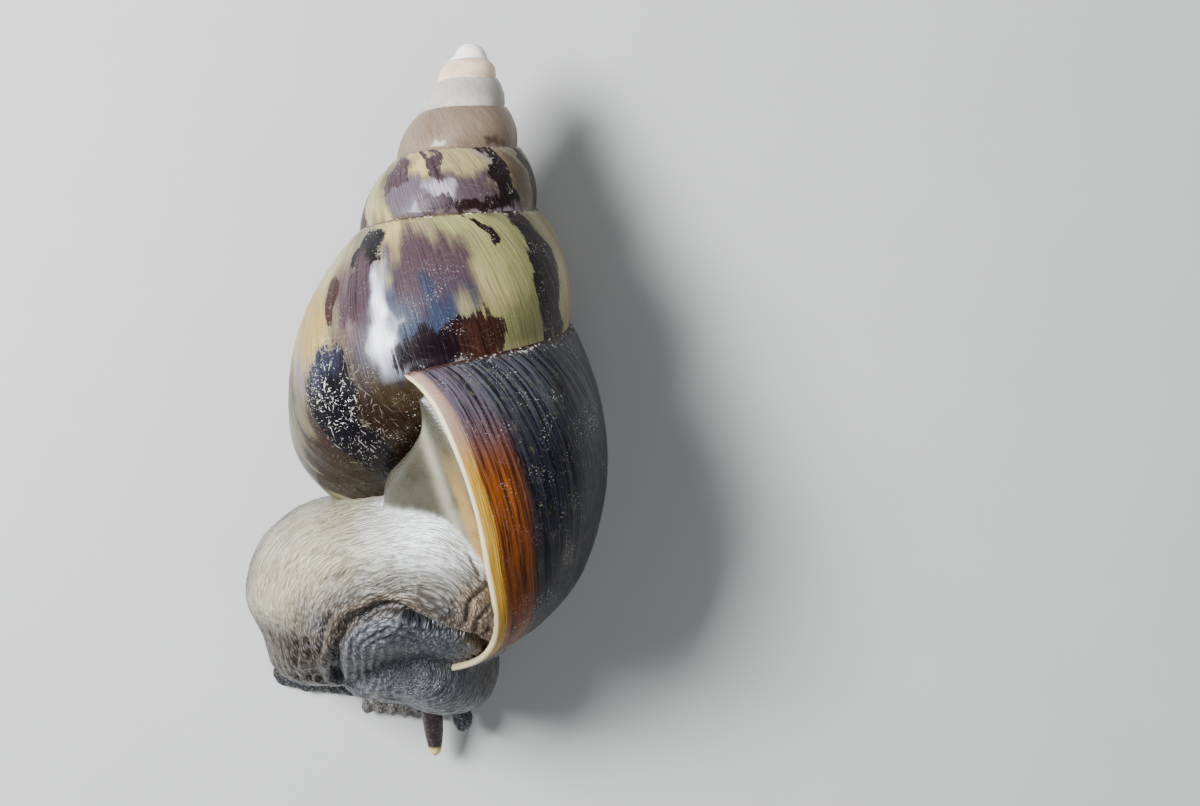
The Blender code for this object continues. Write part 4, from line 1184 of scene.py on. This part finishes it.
def shell_material(dust):
    """Glossy horn over lime: flames over a mottled ground with a painted highlight stripe and painted sky
    reflection, growth streaks, dust and scratches.
    """
    material, graph, surface = new_material("shell_glaze", Coat_Roughness=0.10, Coat_IOR=1.40,
                                            Specular_IOR_Level=0.11)
    step, mix, tint, times, line, sway = (graph.step, graph.mix, graph.tint, graph.times, graph.line,
                                          graph.sway)
    place = graph.place()
    growth = graph.node("UVMap", uv_map="growth").outputs[0]
    parts = graph.node("SeparateXYZ", {0: growth}).outputs
    g, u = parts[0], parts[1]
    ground, strength = graph.layer("ground")
    ink, scratched = graph.layer("ink")
    streaks = graph.stretched(growth, 330.0, 5.0, 3.0, 0.65)
    fine = graph.stretched(growth, 1000.0, 9.0, 2.0, 0.6)
    speckle = graph.noise(place, 1500.0, 2.0)
    lines = graph.stretched(growth, 520.0, 3.0, 3.0, 0.7)
    flame = step(sway(sway(strength, streaks, 0.44), speckle, 0.16), 0.46, 0.56)
    pale = mix(step(streaks, 0.42, 0.75), ground, tint(ground, GROUND_SHADE))
    pale = mix(step(fine, 0.45, 0.75), pale, tint(pale, GROUND_LIGHT))
    pale_soft = mix(0.70, ground, pale)
    pale = mix(step(g, -3.6, -2.4), pale_soft, pale)
    dark = mix(step(fine, 0.50, 0.85), ink, mix(0.025, ink, FLAME_LIGHT))
    dark = mix(step(lines, 0.48, 0.62), dark, tint(dark, FLAME_SHADE))
    dark = mix(step(streaks, 0.62, 0.74), dark, mix(0.04, dark, FLAME_GLEAM))
    crowd = graph.stretched(growth, 26.0, 7.0, 2.0)
    etched = times(step(lines, 0.50, 0.66), step(crowd, 0.36, 0.60))
    etched = times(etched, line(step(g, -3.5, -2.2), 0.65, 0.35))
    pale = mix(times(etched, 0.65), pale, mix(0.75, pale, ETCHING))
    colour = mix(flame, pale, dark)

    warped = sway(g, fine, 0.010)
    upper = step(u, 0.30, 0.12)
    night_share = times(step(warped, -0.62, -0.16), step(g, 0.02, 0.005))
    night = mix(step(streaks, 0.38, 0.72), NIGHT, NIGHT_STREAK)
    night = mix(step(lines, 0.56, 0.70), night, NIGHT_LINE)
    night = mix(times(step(u, 0.28, 0.06), step(streaks, 0.42, 0.62)), night, NIGHT_TOP)
    flecks = graph.stretched(growth, 300.0, 40.0, 2.0)
    night = mix(times(step(flecks, 0.60, 0.72), 0.7), night, NIGHT_FLECK)
    colour = mix(times(night_share, 0.97), colour, night)
    for start, end, low, high, veil, shades in (
            (-0.056, -0.036, 0.10, 0.30, (streaks, 0.3, 0.7), AMBER),
            (-0.013, -0.006, 0.06, 0.26, (fine, 0.35, 0.65), GOLD)):
        band = times(step(warped, start, end), step(u, low, high))
        colour = mix(band, colour, mix(step(*veil), *shades))
    lilac = times(times(step(warped, -0.056, -0.030), upper), step(streaks, 0.40, 0.55))
    colour = mix(times(lilac, 0.6), colour, TOP_LILAC)
    colour = mix(times(step(warped, -0.014, -0.006), upper), colour, TOP_PINK)
    rim = step(warped, -0.001, 0.006)
    colour = mix(rim, colour, mix(fine, *LIP_RIM))

    ragged = sway(sway(u, speckle, 0.020), streaks, 0.018)
    seam = times(step(ragged, 0.016, 0.004), step(g, 0.01, 0.0))
    colour = mix(times(seam, 0.92), colour, SEAM)
    grit = graph.node("Group", {0: place}, node_tree=dust).outputs[0]
    grit = times(grit, line(flame, 0.65, 0.25))
    lodged = times(step(speckle, 0.60, 0.66), step(ragged, 0.035, 0.008))
    grit = graph.math("MAXIMUM", grit, times(lodged, step(g, 0.0, -0.2)))
    marks = None
    for turn in SCRATCH_TURNS:
        mapped = graph.node("Mapping", {"Vector": place, "Rotation": (0.2, 0.3, turn), "Scale": SCRATCH_SIZE},
                            vector_type="TEXTURE").outputs[0]
        mark = step(graph.noise(mapped, 1.0, 0.0), 0.765, 0.795)
        marks = mark if marks is None else graph.math("MAXIMUM", marks, mark)
    marks = times(marks, graph.math("ADD", scratched, 0.04))
    worn = graph.math("MAXIMUM", grit, marks)
    graph.put(surface.inputs["Base Color"], mix(worn, colour, DUST))
    rough = line(graph.noise(place, 420.0, 3.0), 0.22, 0.24)
    graph.put(surface.inputs["Roughness"], graph.math("ADD", rough, times(worn, 0.35)))
    coat = times(step(graph.noise(place, 130.0, 2.0), 0.30, 0.62), 0.34)
    coat = times(coat, line(flame, -0.85, 1.0))
    graph.put(surface.inputs["Coat Weight"], times(coat, graph.math("SUBTRACT", 1.0, worn)))
    height = graph.math("ADD", streaks, times(fine, 0.35))
    height = graph.math("ADD", height, times(worn, 0.5))
    graph.put(surface.inputs["Normal"], graph.bump(height, 0.00009, 0.75))
    return material


# Painted shade in the grooves between the grains, the tint of the larger blotches, and the painted highlight
# that the grains' tops take on.
PIT_SHADE, BLOTCH_SHADE, TOP_LIGHT = (0.40, 0.36, 0.33), (0.80, 0.76, 0.70), (0.60, 0.57, 0.56)
BEAD_DARK, BEAD_LIGHT = (0.006, 0.006, 0.008), (0.030, 0.026, 0.024)
FLOOR_DARK, FLOOR_LIGHT = (0.40, 0.39, 0.37), (0.43, 0.42, 0.40)


def skin_material():
    """Wet, grained skin: grain tops lightened as a painted highlight, grooves darkened as painted shade, and
    a smooth mantle.
    """
    material, graph, surface = new_material("wet_skin", Specular_IOR_Level=0.40, IOR=1.36,
                                            Coat_Roughness=0.12, Subsurface_Scale=0.0012,
                                            Subsurface_Radius=(1.0, 0.55, 0.35), Subsurface_Weight=0.12)
    step, mix, tint, times, line = graph.step, graph.mix, graph.tint, graph.times, graph.line
    place = graph.place()
    grain = graph.node("Attribute", attribute_name="grain").outputs["Vector"]
    base, grained = graph.layer("tone")
    bend = graph.node("TexNoise", {"Vector": grain, "Scale": 0.55, "Detail": 2.0}).outputs["Color"]
    warped = graph.node("VectorMath", enumerate((grain, graph.scaled(bend, (0.7, 0.7, 0.7)))),
                        operation="ADD").outputs[0]
    big = graph.node("TexVoronoi", {"Vector": warped, "Scale": 1.15, "Smoothness": 0.35},
                     feature="SMOOTH_F1").outputs["Distance"]
    small = graph.node("TexVoronoi", {"Vector": warped, "Scale": 2.5}).outputs["Distance"]
    knobs, beads = graph.math("SUBTRACT", 1.0, big), graph.math("SUBTRACT", 1.0, small)
    height = times(line(beads, 0.45, knobs), grained)
    silk = graph.noise(graph.scaled(grain, (0.9, 0.35, 0.9)), 1.6, 3.0)
    height = line(silk, 0.25, height)
    tops = times(step(knobs, 0.50, 0.85), grained)
    groove_shade = times(step(knobs, 0.62, 0.30), grained)
    # Painted highlight on the grains' tops and painted shade in the grooves between them.
    colour = mix(times(tops, 0.55), base, mix(0.28, base, TOP_LIGHT))
    colour = mix(times(groove_shade, 0.70), colour, tint(base, PIT_SHADE))
    blotch = graph.noise(place, 330.0, 3.0)
    colour = mix(step(blotch, 0.45, 0.75), colour, tint(colour, BLOTCH_SHADE))
    graph.put(surface.inputs["Base Color"], colour)
    wet = step(graph.noise(place, 210.0, 2.0), 0.35, 0.65)
    graph.put(surface.inputs["Roughness"], line(wet, -0.12, 0.32))
    graph.put(surface.inputs["Coat Weight"], line(wet, 0.12, 0.02))
    graph.put(surface.inputs["Normal"], graph.bump(height, 0.00034, 1.0))
    return material


def plain_material(name, scale, detail, dark, light, slope, start, **settings):
    """One noise between two colours, with a roughness that follows it."""
    material, graph, surface = new_material(name, **settings)
    shade = graph.noise(graph.place(), scale, detail)
    graph.put(surface.inputs["Base Color"], graph.mix(shade, dark, light))
    graph.put(surface.inputs["Roughness"], graph.line(shade, slope, start))
    return material


# Millimetres: what the camera aims at, how far it stands, and the width it takes in there.
CAMERA_TARGET = (26.4, 8.0, AXIS_HEIGHT)
CAMERA_DISTANCE = 355.0
CAMERA_VIEW = 193.548387
SKY_COLOUR, SKY_STRENGTH = (0.78, 0.87, 1.0, 1.0), 0.26
LAMP_COLOUR = (0.92, 0.96, 1.0)
# Name, size, power, place in metres.
LAMPS = [("key", 0.20, 10.5, (-0.30, 0.14, 0.40)), ("fill", 0.5, 1.3, (0.26, -0.22, 0.55))]
LAMP_AIM = (0.0, 0.0, 0.02)
FLOOR_HALF = 1.5


def camera():
    """The camera stands over the model, turned with the shell's droop."""
    tilt = math.radians(DROOP)
    lens = bpy.data.cameras.new("camera")
    lens.sensor_fit = "HORIZONTAL"
    lens.angle = 2.0 * math.atan(CAMERA_VIEW / (2.0 * CAMERA_DISTANCE))
    lens.clip_start = 0.01
    obj = linked("camera", lens)
    back = np.array([0.0, math.sin(tilt), math.cos(tilt)])
    obj.location = (np.array(CAMERA_TARGET) + back * CAMERA_DISTANCE) * MM
    obj.rotation_euler = (-tilt, 0.0, 0.0)
    bpy.context.scene.camera = obj


def studio():
    """A plain floor, soft sky light, a soft lamp and a weaker one across from it."""
    world = bpy.data.worlds.new("studio")
    world.use_nodes = True
    sky = world.node_tree.nodes["Background"]
    sky.inputs["Color"].default_value = SKY_COLOUR
    sky.inputs["Strength"].default_value = SKY_STRENGTH
    bpy.context.scene.world = world
    corners = [(x * FLOOR_HALF, y * FLOOR_HALF, 0.0) for x, y in ((-1, -1), (1, -1), (1, 1), (-1, 1))]
    floor = bare_object("floor", corners, [(0, 1, 2, 3)])
    floor.data.materials.append(plain_material("pale_floor", 60.0, 3.0, FLOOR_DARK, FLOOR_LIGHT, 0.1, 0.75))
    for name, size, energy, place in LAMPS:
        lamp = bpy.data.lights.new(name, "AREA")
        lamp.size, lamp.energy, lamp.color = size, energy, LAMP_COLOUR
        obj = linked(name, lamp)
        obj.location = place
        obj.rotation_euler = (Vector(LAMP_AIM) - Vector(place)).to_track_quat("-Z", "Y").to_euler()
        obj.visible_glossy = name == "key"


def build_eye(name, centre):
    """A small ball, its rings closed at both poles."""
    theta = np.linspace(0.0, math.pi, 17)[1:-1]
    phi = around(32)
    ring = np.stack([np.cos(phi), np.sin(phi), 0.0 * phi], axis=-1)
    loops = [np.array(centre) + EYE_RADIUS * (ring * math.sin(t) + np.array((0, 0, math.cos(t))))
             for t in theta]
    ends = np.array([centre, centre]) + np.array([(0, 0, EYE_RADIUS), (0, 0, -EYE_RADIUS)])
    obj = lofted(name, np.array(loops))
    points = coordinates(obj.data)
    points[-2:] = ends
    placed(obj.data, points * MM)
    obj.data.shade_smooth()
    return obj


FLESH = ["trunk", "neck", "head", "foot_front", "foot_middle", "foot_rear", "tail", "mantle_collar",
         "tentacle_upper_right", "tentacle_upper_left", "tentacle_lower_right", "tentacle_lower_left",
         "lappet_right", "lappet_left"]
shell = build_shell()
shell.data.materials.append(shell_material(dust_group()))
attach(shell, "root")
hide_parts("shell")
skin = build_skin()
skin.data.materials.append(skin_material())
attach(skin, "root")
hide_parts(*FLESH)
bead = plain_material("eye_bead", 5000.0, 2.0, BEAD_DARK, BEAD_LIGHT, 0.10, 0.10, Coat_Weight=1.0,
                      Coat_Roughness=0.04)
for name, centre in EYES:
    eye = build_eye(name + "_bead", centre)
    eye.data.materials.append(bead)
    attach(eye, "root")
    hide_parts(name)
camera()
studio()
